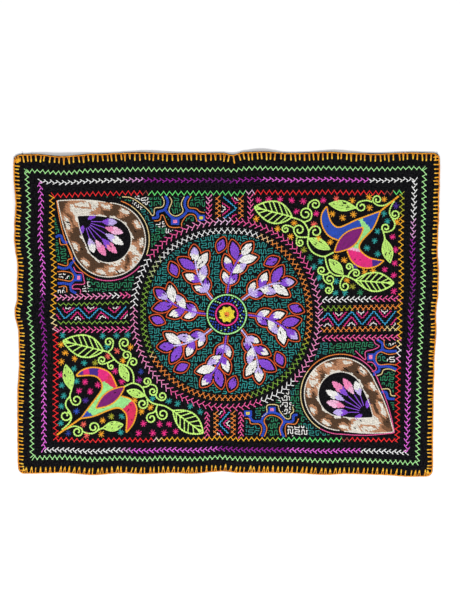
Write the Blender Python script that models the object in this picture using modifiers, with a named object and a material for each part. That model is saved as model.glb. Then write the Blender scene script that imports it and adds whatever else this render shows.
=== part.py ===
# An embroidered black cotton cloth, laid flat on a table.
#
# One cut length with its narrow hem turned in, so one solid. Its outline is the hand-made one: four sides
# that lean a little, each with its own slow waves, and rounded corners. It was kept folded in four, so two
# soft creases cross it, and its rim stands off the table in a few places.
# Metres, +Z up. The origin is under the middle of the cloth, on the table.

import math

import bpy

# Driving sizes
CLOTH_WIDTH = 0.4240
CLOTH_HEIGHT = 0.3225
CLOTH_THICKNESS = 0.0016
CORNER_RADIUS = 0.0065

# How far each corner lies from that of the plain rectangle, to the right and up
CORNER_SHIFT = {
    "top_left": {"right": -0.0011, "up": -0.0017},
    "top_right": {"right": 0.0013, "up": 0.0001},
    "bottom_right": {"right": -0.0059, "up": -0.0012},
    "bottom_left": {"right": 0.0035, "up": 0.0016},
}

# Waves of the four sides: the place along the side, from -1 to 1, and how far the edge stands out there.
# The top and bottom run from left to right, the two others from bottom to top.
EDGE_WAVES = {
    "top": [
        {"at": -1.00, "out": 0.0000},
        {"at": -0.91, "out": 0.0007},
        {"at": -0.77, "out": -0.0018},
        {"at": -0.63, "out": 0.0006},
        {"at": -0.41, "out": 0.0020},
        {"at": -0.29, "out": 0.0010},
        {"at": -0.12, "out": 0.0009},
        {"at": -0.02, "out": 0.0010},
        {"at": 0.03, "out": -0.0009},
        {"at": 0.08, "out": 0.0017},
        {"at": 0.17, "out": 0.0020},
        {"at": 0.30, "out": 0.0006},
        {"at": 0.48, "out": 0.0016},
        {"at": 0.58, "out": 0.0004},
        {"at": 0.71, "out": -0.0003},
        {"at": 0.86, "out": 0.0006},
        {"at": 1.00, "out": 0.0000},
    ],
    "bottom": [
        {"at": -1.00, "out": 0.0000},
        {"at": -0.78, "out": -0.0011},
        {"at": -0.64, "out": 0.0009},
        {"at": -0.50, "out": -0.0012},
        {"at": -0.40, "out": -0.0004},
        {"at": -0.26, "out": -0.0020},
        {"at": -0.17, "out": -0.0012},
        {"at": -0.01, "out": -0.0037},
        {"at": 0.07, "out": -0.0023},
        {"at": 0.30, "out": -0.0024},
        {"at": 0.49, "out": -0.0010},
        {"at": 0.58, "out": -0.0022},
        {"at": 0.72, "out": -0.0014},
        {"at": 0.90, "out": 0.0003},
        {"at": 1.00, "out": 0.0000},
    ],
    "left": [
        {"at": -1.00, "out": 0.0000},
        {"at": -0.80, "out": 0.0001},
        {"at": -0.52, "out": -0.0006},
        {"at": -0.29, "out": -0.0027},
        {"at": -0.12, "out": -0.0024},
        {"at": 0.01, "out": 0.0010},
        {"at": 0.10, "out": -0.0014},
        {"at": 0.30, "out": -0.0022},
        {"at": 0.47, "out": 0.0006},
        {"at": 0.54, "out": 0.0001},
        {"at": 0.69, "out": -0.0016},
        {"at": 0.86, "out": 0.0002},
        {"at": 1.00, "out": 0.0000},
    ],
    "right": [
        {"at": -1.00, "out": 0.0000},
        {"at": -0.70, "out": -0.0006},
        {"at": -0.50, "out": -0.0009},
        {"at": -0.28, "out": -0.0009},
        {"at": -0.10, "out": 0.0006},
        {"at": 0.00, "out": -0.0004},
        {"at": 0.14, "out": 0.0015},
        {"at": 0.28, "out": 0.0014},
        {"at": 0.38, "out": -0.0001},
        {"at": 0.65, "out": 0.0004},
        {"at": 0.92, "out": 0.0003},
        {"at": 1.00, "out": 0.0000},
    ],
}

# How quickly a side's waves die out towards the middle
WAVE_FADE = 4.0

# Creases left by folding the cloth in four
CREASES = {
    "upright": {"at": 0.030, "height": 0.0011, "half_width": 0.0085},
    "level": {"at": 0.010, "height": 0.0008, "half_width": 0.0085},
}

# Places where the rim stands off the table: side, middle and half length along it, height, reach inwards
RIM_LIFTS = [
    {"side": "top", "at": -0.77, "half_length": 0.17, "height": 0.0026, "reach": 0.026},
    {"side": "top", "at": -0.34, "half_length": 0.15, "height": 0.0012, "reach": 0.018},
    {"side": "top", "at": 0.16, "half_length": 0.12, "height": 0.0022, "reach": 0.022},
    {"side": "top", "at": 0.53, "half_length": 0.12, "height": 0.0014, "reach": 0.018},
    {"side": "left", "at": 0.72, "half_length": 0.20, "height": 0.0020, "reach": 0.022},
    {"side": "left", "at": -0.55, "half_length": 0.24, "height": 0.0016, "reach": 0.022},
    {"side": "bottom", "at": -0.30, "half_length": 0.16, "height": 0.0011, "reach": 0.016},
    {"side": "bottom", "at": 0.56, "half_length": 0.15, "height": 0.0013, "reach": 0.018},
    {"side": "right", "at": 0.20, "half_length": 0.18, "height": 0.0012, "reach": 0.016},
]

# Grid of the solid: fine steps across the rounded corners, even ones between
RIM_STEPS = 3
GRID_PITCH = 0.0095

CLOTH_COLOUR = (0.012, 0.012, 0.014, 1.0)


def clear_scene():
    for obj in list(bpy.data.objects):
        bpy.data.objects.remove(obj, do_unlink=True)


def smooth(share):
    share = min(max(share, 0.0), 1.0)
    return share * share * (3.0 - 2.0 * share)


def wave_out(side, at):
    """How far the edge of this side stands out at a place from -1 to 1."""
    rows = EDGE_WAVES[side]
    for low, high in zip(rows, rows[1:]):
        if at <= high["at"]:
            share = (at - low["at"]) / (high["at"] - low["at"])
            return low["out"] + (high["out"] - low["out"]) * smooth(share)
    return rows[-1]["out"]


def rounded(u, v):
    """Pulls the square's corners in to arcs. Both go from -1 to 1."""
    reach_u = 2.0 * CORNER_RADIUS / CLOTH_WIDTH
    reach_v = 2.0 * CORNER_RADIUS / CLOTH_HEIGHT
    p = (abs(u) - 1.0 + reach_u) / reach_u
    q = (abs(v) - 1.0 + reach_v) / reach_v
    if p <= 0.0 or q <= 0.0:
        return u, v
    p_round = p * math.sqrt(1.0 - 0.5 * q * q)
    q_round = q * math.sqrt(1.0 - 0.5 * p * p)
    u = math.copysign(1.0 - reach_u + reach_u * p_round, u)
    v = math.copysign(1.0 - reach_v + reach_v * q_round, v)
    return u, v


def place_on_table(u, v):
    """Where a point of the plain rectangle, u and v from -1 to 1, lies on the table."""
    u, v = rounded(u, v)
    right, up = (1.0 + u) / 2.0, (1.0 + v) / 2.0
    shares = {
        "top_left": (1.0 - right) * up,
        "top_right": right * up,
        "bottom_right": right * (1.0 - up),
        "bottom_left": (1.0 - right) * (1.0 - up),
    }
    x = u * CLOTH_WIDTH / 2.0
    y = v * CLOTH_HEIGHT / 2.0
    for corner, share in shares.items():
        x += share * CORNER_SHIFT[corner]["right"]
        y += share * CORNER_SHIFT[corner]["up"]
    y += wave_out("top", u) * up**WAVE_FADE
    y -= wave_out("bottom", u) * (1.0 - up) ** WAVE_FADE
    x += wave_out("right", v) * right**WAVE_FADE
    x -= wave_out("left", v) * (1.0 - right) ** WAVE_FADE
    return x, y


def crease_height(u, v):
    lift = 0.0
    for name, crease in CREASES.items():
        across = (u - crease["at"]) * CLOTH_WIDTH / 2.0
        if name == "level":
            across = (v - crease["at"]) * CLOTH_HEIGHT / 2.0
        lift = max(lift, crease["height"] * smooth(1.0 - abs(across) / crease["half_width"]))
    return lift


def rim_height(u, v):
    lift = 0.0
    for place in RIM_LIFTS:
        inwards = {
            "top": (1.0 - v) * CLOTH_HEIGHT / 2.0,
            "bottom": (1.0 + v) * CLOTH_HEIGHT / 2.0,
            "left": (1.0 + u) * CLOTH_WIDTH / 2.0,
            "right": (1.0 - u) * CLOTH_WIDTH / 2.0,
        }[place["side"]]
        along = u if place["side"] in ("top", "bottom") else v
        near = smooth(1.0 - abs(along - place["at"]) / place["half_length"])
        lift = max(lift, place["height"] * near * smooth(1.0 - inwards / place["reach"]))
    return lift


def lift_off_table(u, v):
    """Height of the cloth's underside: 0 where it touches the table."""
    return max(crease_height(u, v), rim_height(u, v))


def grid_stations(length):
    """Places of the grid lines across the cloth, from -1 to 1."""
    rim = 2.0 * CORNER_RADIUS / length
    inner_count = round((length - 2.0 * CORNER_RADIUS) / GRID_PITCH)
    stations = [-1.0 + rim * step / RIM_STEPS for step in range(RIM_STEPS)]
    stations += [(1.0 - rim) * (2.0 * step / inner_count - 1.0) for step in range(inner_count + 1)]
    stations += [1.0 - rim * step / RIM_STEPS for step in reversed(range(RIM_STEPS))]
    return stations


def cloth_material():
    material = bpy.data.materials.new("black_cotton")
    material.use_nodes = True
    surface = material.node_tree.nodes["Principled BSDF"]
    surface.inputs["Base Color"].default_value = CLOTH_COLOUR
    surface.inputs["Roughness"].default_value = 0.92
    surface.inputs["Metallic"].default_value = 0.0
    return material


def make_cloth(collection):
    columns = grid_stations(CLOTH_WIDTH)
    rows = grid_stations(CLOTH_HEIGHT)
    bpy.ops.mesh.primitive_grid_add(
        x_subdivisions=len(columns) - 1, y_subdivisions=len(rows) - 1, size=1.0
    )
    cloth = bpy.context.object
    cloth.name = "cloth"
    for vertex in cloth.data.vertices:
        u = columns[round((vertex.co.x + 0.5) * (len(columns) - 1))]
        v = rows[round((vertex.co.y + 0.5) * (len(rows) - 1))]
        x, y = place_on_table(u, v)
        vertex.co = (x, y, lift_off_table(u, v))
    centre_on_origin(cloth)
    body = cloth.modifiers.new("cloth_thickness", "SOLIDIFY")
    body.thickness = CLOTH_THICKNESS
    body.offset = 1.0
    cloth.data.shade_smooth()
    cloth.data.materials.append(cloth_material())
    for holder in list(cloth.users_collection):
        holder.objects.unlink(cloth)
    collection.objects.link(cloth)


def centre_on_origin(obj):
    """Puts the middle of the outline's box over the origin."""
    xs = [vertex.co.x for vertex in obj.data.vertices]
    ys = [vertex.co.y for vertex in obj.data.vertices]
    middle_x = (min(xs) + max(xs)) / 2.0
    middle_y = (min(ys) + max(ys)) / 2.0
    for vertex in obj.data.vertices:
        vertex.co.x -= middle_x
        vertex.co.y -= middle_y


def main():
    clear_scene()
    collection = bpy.data.collections.new("embroidered_cloth")
    bpy.context.scene.collection.children.link(collection)
    make_cloth(collection)


main()
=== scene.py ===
import math

import bpy
import numpy as np
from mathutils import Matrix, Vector


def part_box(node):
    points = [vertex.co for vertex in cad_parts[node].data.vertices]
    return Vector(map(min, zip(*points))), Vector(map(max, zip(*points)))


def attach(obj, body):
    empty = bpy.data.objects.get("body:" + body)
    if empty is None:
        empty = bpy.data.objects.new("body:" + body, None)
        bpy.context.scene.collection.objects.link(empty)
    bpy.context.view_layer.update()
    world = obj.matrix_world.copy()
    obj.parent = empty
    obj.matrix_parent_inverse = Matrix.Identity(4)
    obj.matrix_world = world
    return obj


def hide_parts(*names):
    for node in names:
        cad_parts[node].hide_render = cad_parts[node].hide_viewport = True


# An embroidered black cotton cloth, seen from straight above.
# Every motif is charted in millimetres from the left and the top of the pattern sheet.

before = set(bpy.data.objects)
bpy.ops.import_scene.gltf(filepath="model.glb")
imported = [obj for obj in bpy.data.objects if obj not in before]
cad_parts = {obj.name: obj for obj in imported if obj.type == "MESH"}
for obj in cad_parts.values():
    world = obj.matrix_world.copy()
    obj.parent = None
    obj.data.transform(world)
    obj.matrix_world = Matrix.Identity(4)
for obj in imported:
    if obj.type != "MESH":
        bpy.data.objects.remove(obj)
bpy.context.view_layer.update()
clothLow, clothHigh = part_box("cloth")
print("frame loaded")

draws = np.random.default_rng(7)


# The cloth's own shape, in millimetres; u and v run from -1 to 1 over the plain rectangle

cloth = {
    "width": 424.0,
    "height": 322.5,
    "thickness": 1.0,
    "underside": 0.4,
    "cornerRadius": 6.5,
    "chartMiddle": (227.0, 314.0),
    "waveFade": 4.0,
    "columns": 176,
    "rows": 134,
    "pucker": 0.16,
    "puckerReach": (212.0, 161.0),
}
cornerShift = {
    "topLeft": (-1.1, -1.7),
    "topRight": (1.3, 0.1),
    "bottomRight": (-5.9, -1.2),
    "bottomLeft": (3.5, 1.6),
}
# place along the side and how far the edge stands out there
edgeWaves = {
    "top": [(-1, 0), (-0.91, 0.7), (-0.77, -1.8), (-0.63, 0.6), (-0.41, 2.0), (-0.29, 1.0), (-0.12, 0.9),
            (-0.02, 1.0), (0.03, -0.9), (0.08, 1.7), (0.17, 2.0), (0.30, 0.6), (0.48, 1.6), (0.58, 0.4),
            (0.71, -0.3), (0.86, 0.6), (1, 0)],
    "bottom": [(-1, 0), (-0.78, -1.1), (-0.64, 0.9), (-0.50, -1.2), (-0.40, -0.4), (-0.26, -2.0),
               (-0.17, -1.2), (-0.01, -3.7), (0.07, -2.3), (0.30, -2.4), (0.49, -1.0), (0.58, -2.2),
               (0.72, -1.4), (0.90, 0.3), (1, 0)],
    "left": [(-1, 0), (-0.80, 0.1), (-0.52, -0.6), (-0.29, -2.7), (-0.12, -2.4), (0.01, 1.0), (0.10, -1.4),
             (0.30, -2.2), (0.47, 0.6), (0.54, 0.1), (0.69, -1.6), (0.86, 0.2), (1, 0)],
    "right": [(-1, 0), (-0.70, -0.6), (-0.50, -0.9), (-0.28, -0.9), (-0.10, 0.6), (0, -0.4), (0.14, 1.5),
              (0.28, 1.4), (0.38, -0.1), (0.65, 0.4), (0.92, 0.3), (1, 0)],
}
creases = {
    "upright": {"at": 0.030, "height": 1.1, "halfWidth": 8.5},
    "level": {"at": 0.010, "height": 0.8, "halfWidth": 8.5},
}
# side, middle and half length along it, height, reach inwards
rimLifts = [
    ("top", -0.77, 0.17, 2.6, 26), ("top", -0.34, 0.15, 1.2, 18), ("top", 0.16, 0.12, 2.2, 22),
    ("top", 0.53, 0.12, 1.4, 18), ("left", 0.72, 0.20, 2.0, 22), ("left", -0.55, 0.24, 1.6, 22),
    ("bottom", -0.30, 0.16, 1.1, 16), ("bottom", 0.56, 0.15, 1.3, 18), ("right", 0.20, 0.18, 1.2, 16),
]


def smooth(share):
    share = np.clip(share, 0.0, 1.0)
    return share * share * (3.0 - 2.0 * share)


def waveOut(side, at):
    rows = np.array(edgeWaves[side], float)
    low = np.clip(np.searchsorted(rows[:, 0], at) - 1, 0, len(rows) - 2)
    share = (at - rows[low, 0]) / (rows[low + 1, 0] - rows[low, 0])
    return rows[low, 1] + (rows[low + 1, 1] - rows[low, 1]) * smooth(share)


def roundCorners(u, v):
    reachU = 2.0 * cloth["cornerRadius"] / cloth["width"]
    reachV = 2.0 * cloth["cornerRadius"] / cloth["height"]
    p = (np.abs(u) - 1.0 + reachU) / reachU
    q = (np.abs(v) - 1.0 + reachV) / reachV
    atCorner = (p > 0.0) & (q > 0.0)
    pRound = p * np.sqrt(np.clip(1.0 - 0.5 * q * q, 0.0, 1.0))
    qRound = q * np.sqrt(np.clip(1.0 - 0.5 * p * p, 0.0, 1.0))
    roundU = np.where(atCorner, np.sign(u) * (1.0 - reachU + reachU * pRound), u)
    roundV = np.where(atCorner, np.sign(v) * (1.0 - reachV + reachV * qRound), v)
    return roundU, roundV


def placeOnTable(u, v):
    u, v = roundCorners(np.asarray(u, float), np.asarray(v, float))
    right, up = (1.0 + u) / 2.0, (1.0 + v) / 2.0
    x = u * cloth["width"] / 2.0
    y = v * cloth["height"] / 2.0
    shares = {
        "topLeft": (1.0 - right) * up,
        "topRight": right * up,
        "bottomRight": right * (1.0 - up),
        "bottomLeft": (1.0 - right) * (1.0 - up),
    }
    for corner, share in shares.items():
        x = x + share * cornerShift[corner][0]
        y = y + share * cornerShift[corner][1]
    fade = cloth["waveFade"]
    y = y + waveOut("top", u) * up**fade - waveOut("bottom", u) * (1.0 - up) ** fade
    x = x + waveOut("right", v) * right**fade - waveOut("left", v) * (1.0 - right) ** fade
    return x, y


def findOnCloth(x, y):
    u = 2.0 * x / cloth["width"]
    v = 2.0 * y / cloth["height"]
    for turn in range(3):
        nowX, nowY = placeOnTable(np.clip(u, -1, 1), np.clip(v, -1, 1))
        u = np.clip(u + 2.0 * (x - nowX) / cloth["width"], -1, 1)
        v = np.clip(v + 2.0 * (y - nowY) / cloth["height"], -1, 1)
    return u, v


def liftOffTable(u, v):
    lift = np.zeros_like(u)
    for name, crease in creases.items():
        across = (u - crease["at"]) * cloth["width"] / 2.0
        if name == "level":
            across = (v - crease["at"]) * cloth["height"] / 2.0
        lift = np.maximum(lift, crease["height"] * smooth(1.0 - np.abs(across) / crease["halfWidth"]))
    for side, middle, halfLength, height, reach in rimLifts:
        inwards = {
            "top": (1.0 - v) * cloth["height"] / 2.0,
            "bottom": (1.0 + v) * cloth["height"] / 2.0,
            "left": (1.0 + u) * cloth["width"] / 2.0,
            "right": (1.0 - u) * cloth["width"] / 2.0,
        }[side]
        along = u if side in ("top", "bottom") else v
        near = smooth(1.0 - np.abs(along - middle) / halfLength)
        lift = np.maximum(lift, height * near * smooth(1.0 - inwards / reach))
    return lift


def puckers(u, v):
    # small hollows that the pulled threads leave, never below the laid height
    x, y = u * cloth["puckerReach"][0], v * cloth["puckerReach"][1]
    waves = np.sin(x / 5.1 + 1.3 * np.sin(y / 9.0)) * np.sin(y / 4.3 + 1.1 * np.sin(x / 7.7))
    waves = waves + 0.6 * np.sin(x / 2.9 + y / 6.1) * np.sin(y / 3.7 - x / 8.3)
    return cloth["pucker"] * (1.6 + waves) / 1.6


def clothMiddle():
    steps = np.linspace(-1, 1, 241)
    u, v = np.meshgrid(steps, steps)
    x, y = placeOnTable(u, v)
    return (x.min() + x.max()) / 2.0, (y.min() + y.max()) / 2.0


middleX, middleY = clothMiddle()
boxMiddle = (clothLow + clothHigh) / 2.0
shiftX = boxMiddle.x * 1000.0 - middleX
shiftY = boxMiddle.y * 1000.0 - middleY


def fromChart(points):
    points = np.asarray(points, float)
    left, top = cloth["chartMiddle"]
    return np.column_stack([points[:, 0] - left, top - points[:, 1]])


def followCloth(points):
    # a chart point drawn on the plain rectangle goes where the pulled cloth carries it
    flat = fromChart(points)
    x, y = placeOnTable(flat[:, 0] / (cloth["width"] / 2), flat[:, 1] / (cloth["height"] / 2))
    left, top = cloth["chartMiddle"]
    return np.column_stack([x + left, top - y])


def liftToMetres(x, y, above):
    u, v = findOnCloth(x, y)
    z = cloth["underside"] + cloth["thickness"] + liftOffTable(u, v) + puckers(u, v) + above
    return np.column_stack([x + shiftX, y + shiftY, z]) / 1000.0


# Thread colours

def dyed(red, green, blue):
    values = np.array([red, green, blue], float) / 255.0
    return np.where(values <= 0.04045, values / 12.92, ((values + 0.055) / 1.055) ** 2.4)


thread = {
    "white": dyed(246, 244, 240),
    "cream": dyed(240, 215, 150),
    "peach": dyed(235, 185, 130),
    "mustard": dyed(252, 170, 22),
    "rimBrown": dyed(205, 118, 22),
    # a pale tone of the rim thread, used only as painted highlight on the heads of the blanket stitch
    "rimHighlight": dyed(255, 196, 66),
    "orange": dyed(240, 134, 50),
    "outline": dyed(228, 88, 28),
    "yellow": dyed(240, 222, 50),
    "palePink": dyed(248, 190, 222),
    "pink": dyed(246, 140, 190),
    "rose": dyed(236, 86, 152),
    "magenta": dyed(240, 35, 135),
    "crimson": dyed(230, 40, 95),
    "coral": dyed(250, 100, 85),
    "red": dyed(236, 22, 28),
    "brick": dyed(140, 55, 45),
    "brown": dyed(82, 52, 24),
    "chestnut": dyed(128, 84, 52),
    "tan": dyed(190, 135, 98),
    "bone": dyed(232, 226, 214),
    "pinkLilac": dyed(222, 160, 215),
    "orchid": dyed(226, 100, 215),
    "plum": dyed(152, 14, 152),
    "deepPurple": dyed(118, 8, 125),
    "wine": dyed(134, 4, 122),
    "purple": dyed(138, 72, 215),
    "lilac": dyed(202, 182, 242),
    "violet": dyed(72, 30, 150),
    "blue": dyed(24, 70, 195),
    "royal": dyed(30, 78, 190),
    "navy": dyed(20, 55, 150),
    "sky": dyed(48, 172, 222),
    "teal": dyed(30, 158, 155),
    "deepTeal": dyed(24, 134, 128),
    "darkGreen": dyed(26, 134, 88),
    "green": dyed(100, 220, 110),
    "mint": dyed(168, 240, 150),
    "sage": dyed(176, 190, 128),
    "lime": dyed(203, 248, 122),
    "olive": dyed(165, 165, 30),
    "leafGreen": dyed(120, 165, 50),
    "black": dyed(24, 22, 26),
}


# Stitches are collected in patches, and every patch becomes one mesh

patches = {}


def newPatch(name):
    patches[name] = []
    return patches[name]


def sew(patch, start, end, width, colour, tall=0.75, level=0.0, sinkStart=0.2, sinkEnd=0.2):
    start = np.atleast_2d(np.asarray(start, float))
    end = np.atleast_2d(np.asarray(end, float))
    count = len(start)
    if count == 0:
        return
    colour = np.broadcast_to(np.asarray(colour, float), (count, 3))
    numbers = [np.broadcast_to(np.asarray(value, float), (count,))
               for value in (width, tall, level, sinkStart, sinkEnd)]
    patch.append(np.column_stack([start, end, *numbers, colour]))


def curved(points, fine=8):
    # a smooth line through the points
    points = np.asarray(points, float)
    if len(points) < 3:
        return points
    padded = np.vstack([2 * points[0] - points[1], points, 2 * points[-1] - points[-2]])
    p0, p1, p2, p3 = (padded[first:len(padded) - 3 + first, None, :] for first in range(4))
    shares = np.linspace(0, 1, fine, endpoint=False)[None, :, None]
    line = 0.5 * (2 * p1 + (p2 - p0) * shares + (2 * p0 - 5 * p1 + 4 * p2 - p3) * shares**2
                  + (3 * p1 - 3 * p2 + p3 - p0) * shares**3)
    return np.vstack([line.reshape(-1, 2), points[-1:]])

def distances(line):
    return np.concatenate([[0.0], np.cumsum(np.hypot(*np.diff(line, axis=0).T))])


def evenly(line, step):
    # points at even steps along a line
    along = distances(line)
    count = max(1, round(along[-1] / step))
    at = np.linspace(0, along[-1], count + 1)
    points = np.column_stack([np.interp(at, along, line[:, 0]), np.interp(at, along, line[:, 1])])
    return points


def directions(points):
    ahead = np.gradient(points, axis=0)
    return ahead / np.maximum(np.hypot(*ahead.T), 1e-9)[:, None]


def sideways(way):
    return np.column_stack([way[:, 1], -way[:, 0]])

def unit(way):
    return way / np.hypot(*way.T)[:, None]

def pointing(angle):
    return np.array([math.cos(angle), math.sin(angle)])

def onCircle(angles):
    return np.column_stack([np.cos(angles), np.sin(angles)])

def closedUp(outline):
    return np.vstack([outline, outline[:1]])

def byTurns(count):
    # 1 and -1 by turns
    return np.where(np.arange(count) % 2 == 0, 1.0, -1.0)

def allIn(colour, points):
    return np.tile(colour, (len(points), 1))


# What is already covered, on a fine grid, so that grounds stay clear of motifs

covered = {"cell": 0.5, "left": 0.0, "top": 140.0, "columns": 920, "rows": 700}
coveredCells = np.zeros((covered["columns"], covered["rows"]), bool)


def cellOf(points):
    points = np.asarray(points, float)
    column = np.rint((points[..., 0] - covered["left"]) / covered["cell"]).astype(int)
    row = np.rint((points[..., 1] - covered["top"]) / covered["cell"]).astype(int)
    return keepInGrid(column, row)


def keepInGrid(column, row):
    return np.clip(column, 0, covered["columns"] - 1), np.clip(row, 0, covered["rows"] - 1)


def coverLine(line, radius):
    points = evenly(np.asarray(line, float), covered["cell"])
    reach = int(math.ceil(radius / covered["cell"]))
    offsets = [(i, j) for i in range(-reach, reach + 1) for j in range(-reach, reach + 1)
               if math.hypot(i, j) * covered["cell"] <= radius]
    columns, rows = cellOf(points)
    for i, j in offsets:
        coveredCells[keepInGrid(columns + i, rows + j)] = True


def insideShape(outline, points):
    outline = np.asarray(outline, float)
    following = np.roll(outline, -1, 0)
    x, y = points[:, 0, None], points[:, 1, None]
    spans = (outline[None, :, 1] > y) != (following[None, :, 1] > y)
    rise = following[:, 1] - outline[:, 1]
    rise = np.where(rise == 0, 1e-9, rise)
    crossing = (following[:, 0] - outline[:, 0]) * (y - outline[:, 1]) / rise + outline[:, 0]
    return (np.sum(spans & (x < crossing), axis=1) % 2) == 1


def coverShape(outline, margin=0.0):
    outline = np.asarray(outline, float)
    low, high = outline.min(0), outline.max(0)
    xs, ys = np.meshgrid(np.arange(low[0], high[0], covered["cell"]),
                         np.arange(low[1], high[1], covered["cell"]))
    points = np.column_stack([xs.ravel(), ys.ravel()])
    points = points[insideShape(outline, points)]
    columns, rows = cellOf(points)
    coveredCells[columns, rows] = True
    if margin > 0:
        coverLine(closedUp(outline), margin)


def isCovered(points):
    columns, rows = cellOf(points)
    return coveredCells[columns, rows]


# Kinds of stitching

stemStitch = {"overlap": 0.13, "slant": 0.12}

def stemLine(patch, points, colour, width=1.7, step=2.3, clear=None, avoid=None, level=0.0, tall=0.85):
    line = np.asarray(points, float)
    at = evenly(line, step)
    way = directions(at)
    aside = sideways(way)
    overlap, slant = stemStitch["overlap"], stemStitch["slant"]
    start = at[:-1] - way[:-1] * overlap * step + aside[:-1] * slant * width
    end = at[1:] + way[1:] * overlap * step - aside[1:] * slant * width
    if callable(colour):
        colour = colour((start + end) / 2)
    if avoid is not None:
        keep = ~avoid((start + end) / 2)
        start, end = start[keep], end[keep]
        if np.ndim(colour) == 2:
            colour = colour[keep]
    sew(patch, start, end, width, colour, tall=tall, level=level)
    if clear is not None:
        coverLine(line, clear)

thinThread = {"brighter": 1.22}


def herringboneRow(patch, line, colourAt, pitch=5.4, depth=3.3, tail=0.5, width=0.9, lean=0.0,
                   uneven=0.22):
    at = evenly(np.asarray(line, float), pitch / 2)
    way = directions(at)
    side = sideways(way)
    hands = byTurns(len(at))
    away = hands * depth / 2 + draws.uniform(-uneven, uneven, len(at))
    slip = hands * lean + draws.uniform(-uneven, uneven, len(at))
    peaks = at + side * away[:, None] + way * slip[:, None]
    legs = unit(peaks[1:] - peaks[:-1])
    start, end = peaks[:-1] - legs * tail, peaks[1:] + legs * tail
    middle = (start + end) / 2
    level = np.where(np.arange(len(middle)) % 2 == 0, 0.0, 0.22)
    sew(patch, start, end, width, colourAt(middle) * thinThread["brighter"], tall=0.7, level=level)


def featherRow(patch, line, colourAt, pitch=2.95, depth=3.1, inner=1.25, back=2.8, width=0.95,
               uneven=0.16):
    # a chain of legs, and at each of its corners a tail that points back
    at = evenly(np.asarray(line, float), pitch)
    way = directions(at)
    side = sideways(way)
    hands = byTurns(len(at))[:, None]
    nodes = at + side * hands * inner + draws.uniform(-uneven, uneven, at.shape)
    tails = nodes - way * back + side * hands * (depth - inner) + draws.uniform(-uneven, uneven, at.shape)
    brighter = thinThread["brighter"]
    sew(patch, nodes[:-1], nodes[1:], width, colourAt(nodes[1:]) * brighter, tall=0.7)
    sew(patch, tails, nodes, width, colourAt(nodes) * brighter, tall=0.7, level=0.15)


def steppedLine(patch, corners, colour, width=0.85, step=1.45, swing=0.7, overlap=0.2):
    # a line of tiny steps
    points = evenly(np.asarray(corners, float), step)
    aside = sideways(directions(points))
    hands = byTurns(len(points))[:, None]
    points = points + aside * hands * swing
    legs = unit(points[1:] - points[:-1]) * overlap
    sew(patch, points[:-1] - legs, points[1:] + legs, width, colour, tall=0.7)


def clipStitches(start, end, allowed, shortest=1.1):
    # what is left of each stitch where it is allowed
    shares = np.linspace(0, 1, 10)
    probes = start[:, None] + (end - start)[:, None] * shares[None, :, None]
    free = allowed(probes.reshape(-1, 2)).reshape(len(start), -1).astype(int)
    starts, ends = [], []
    for probe, open_ in zip(probes, free):
        edges = np.flatnonzero(np.diff(np.concatenate([[0], open_, [0]])))
        for first, last in zip(edges[::2], edges[1::2]):
            if np.hypot(*(probe[last - 1] - probe[first])) >= shortest:
                starts.append(probe[first])
                ends.append(probe[last - 1])
    return np.array(starts).reshape(-1, 2), np.array(ends).reshape(-1, 2)


def fillZone(patch, inside, low, high, angle, colourAt, rowGap=0.95, length=3.0, width=1.12, tall=0.6,
             gaps=0.012):
    # dense rows of long and short stitches at an angle
    way = pointing(angle)
    across = np.array([-way[1], way[0]])
    middle = (np.asarray(low, float) + np.asarray(high, float)) / 2
    reach = np.hypot(*(np.asarray(high, float) - np.asarray(low, float))) / 2 + 1
    step = 0.3
    ats = np.arange(-reach, reach, step)
    offs = np.arange(-reach, reach, rowGap)
    grid = middle + offs[:, None, None] * across + ats[None, :, None] * way
    hit = inside(grid.reshape(-1, 2)).reshape(len(offs), len(ats))
    starts, ends = [], []
    for row, off in enumerate(offs):
        edges = np.flatnonzero(np.diff(np.concatenate([[0], hit[row].astype(int), [0]])))
        for first, last in zip(edges[::2], edges[1::2]):
            begin, finish = ats[first], ats[last - 1]
            if finish - begin < 0.5:
                continue
            phase = length * (0.5 * (row % 2) + 0.25 * ((row // 2) % 2))
            cuts = np.arange(math.floor(begin / length) * length + phase - length, finish, length)
            cuts = cuts + draws.uniform(-0.4, 0.4, len(cuts))
            cuts = cuts[(cuts > begin + 0.9) & (cuts < finish - 0.9)]
            stops = np.concatenate([[begin - 0.2], cuts, [finish + 0.2]])
            base = middle + across * (off + draws.uniform(-0.1, 0.1))
            starts.append(base + (stops[:-1, None] - 0.25) * way)
            ends.append(base + (stops[1:, None] + 0.25) * way)
    if not starts:
        return
    start, end = np.vstack(starts), np.vstack(ends)
    kept = draws.uniform(0, 1, len(start)) > gaps
    start, end = start[kept], end[kept]
    sew(patch, start, end, width, colourAt((start + end) / 2), tall=tall)


def fillShape(patch, outline, angle, colour, **more):
    outline = np.asarray(outline, float)
    colourAt = colour if callable(colour) else (lambda points: allIn(colour, points))
    fillZone(patch, lambda points: insideShape(outline, points), outline.min(0), outline.max(0), angle,
             colourAt, **more)


def sewStar(patch, x, y, colour, radius=3.5, width=0.85):
    turn = draws.uniform(0, math.pi / 4)
    for spoke in range(4):
        angle = turn + spoke * math.pi / 4 + draws.uniform(-0.12, 0.12)
        reach = radius * draws.uniform(0.88, 1.1)
        way = pointing(angle) * reach
        here = np.array([x, y]) + draws.uniform(-0.25, 0.25, 2)
        sew(patch, here - way, here + way, width, colour, tall=0.7, level=0.12 * spoke)


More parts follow.
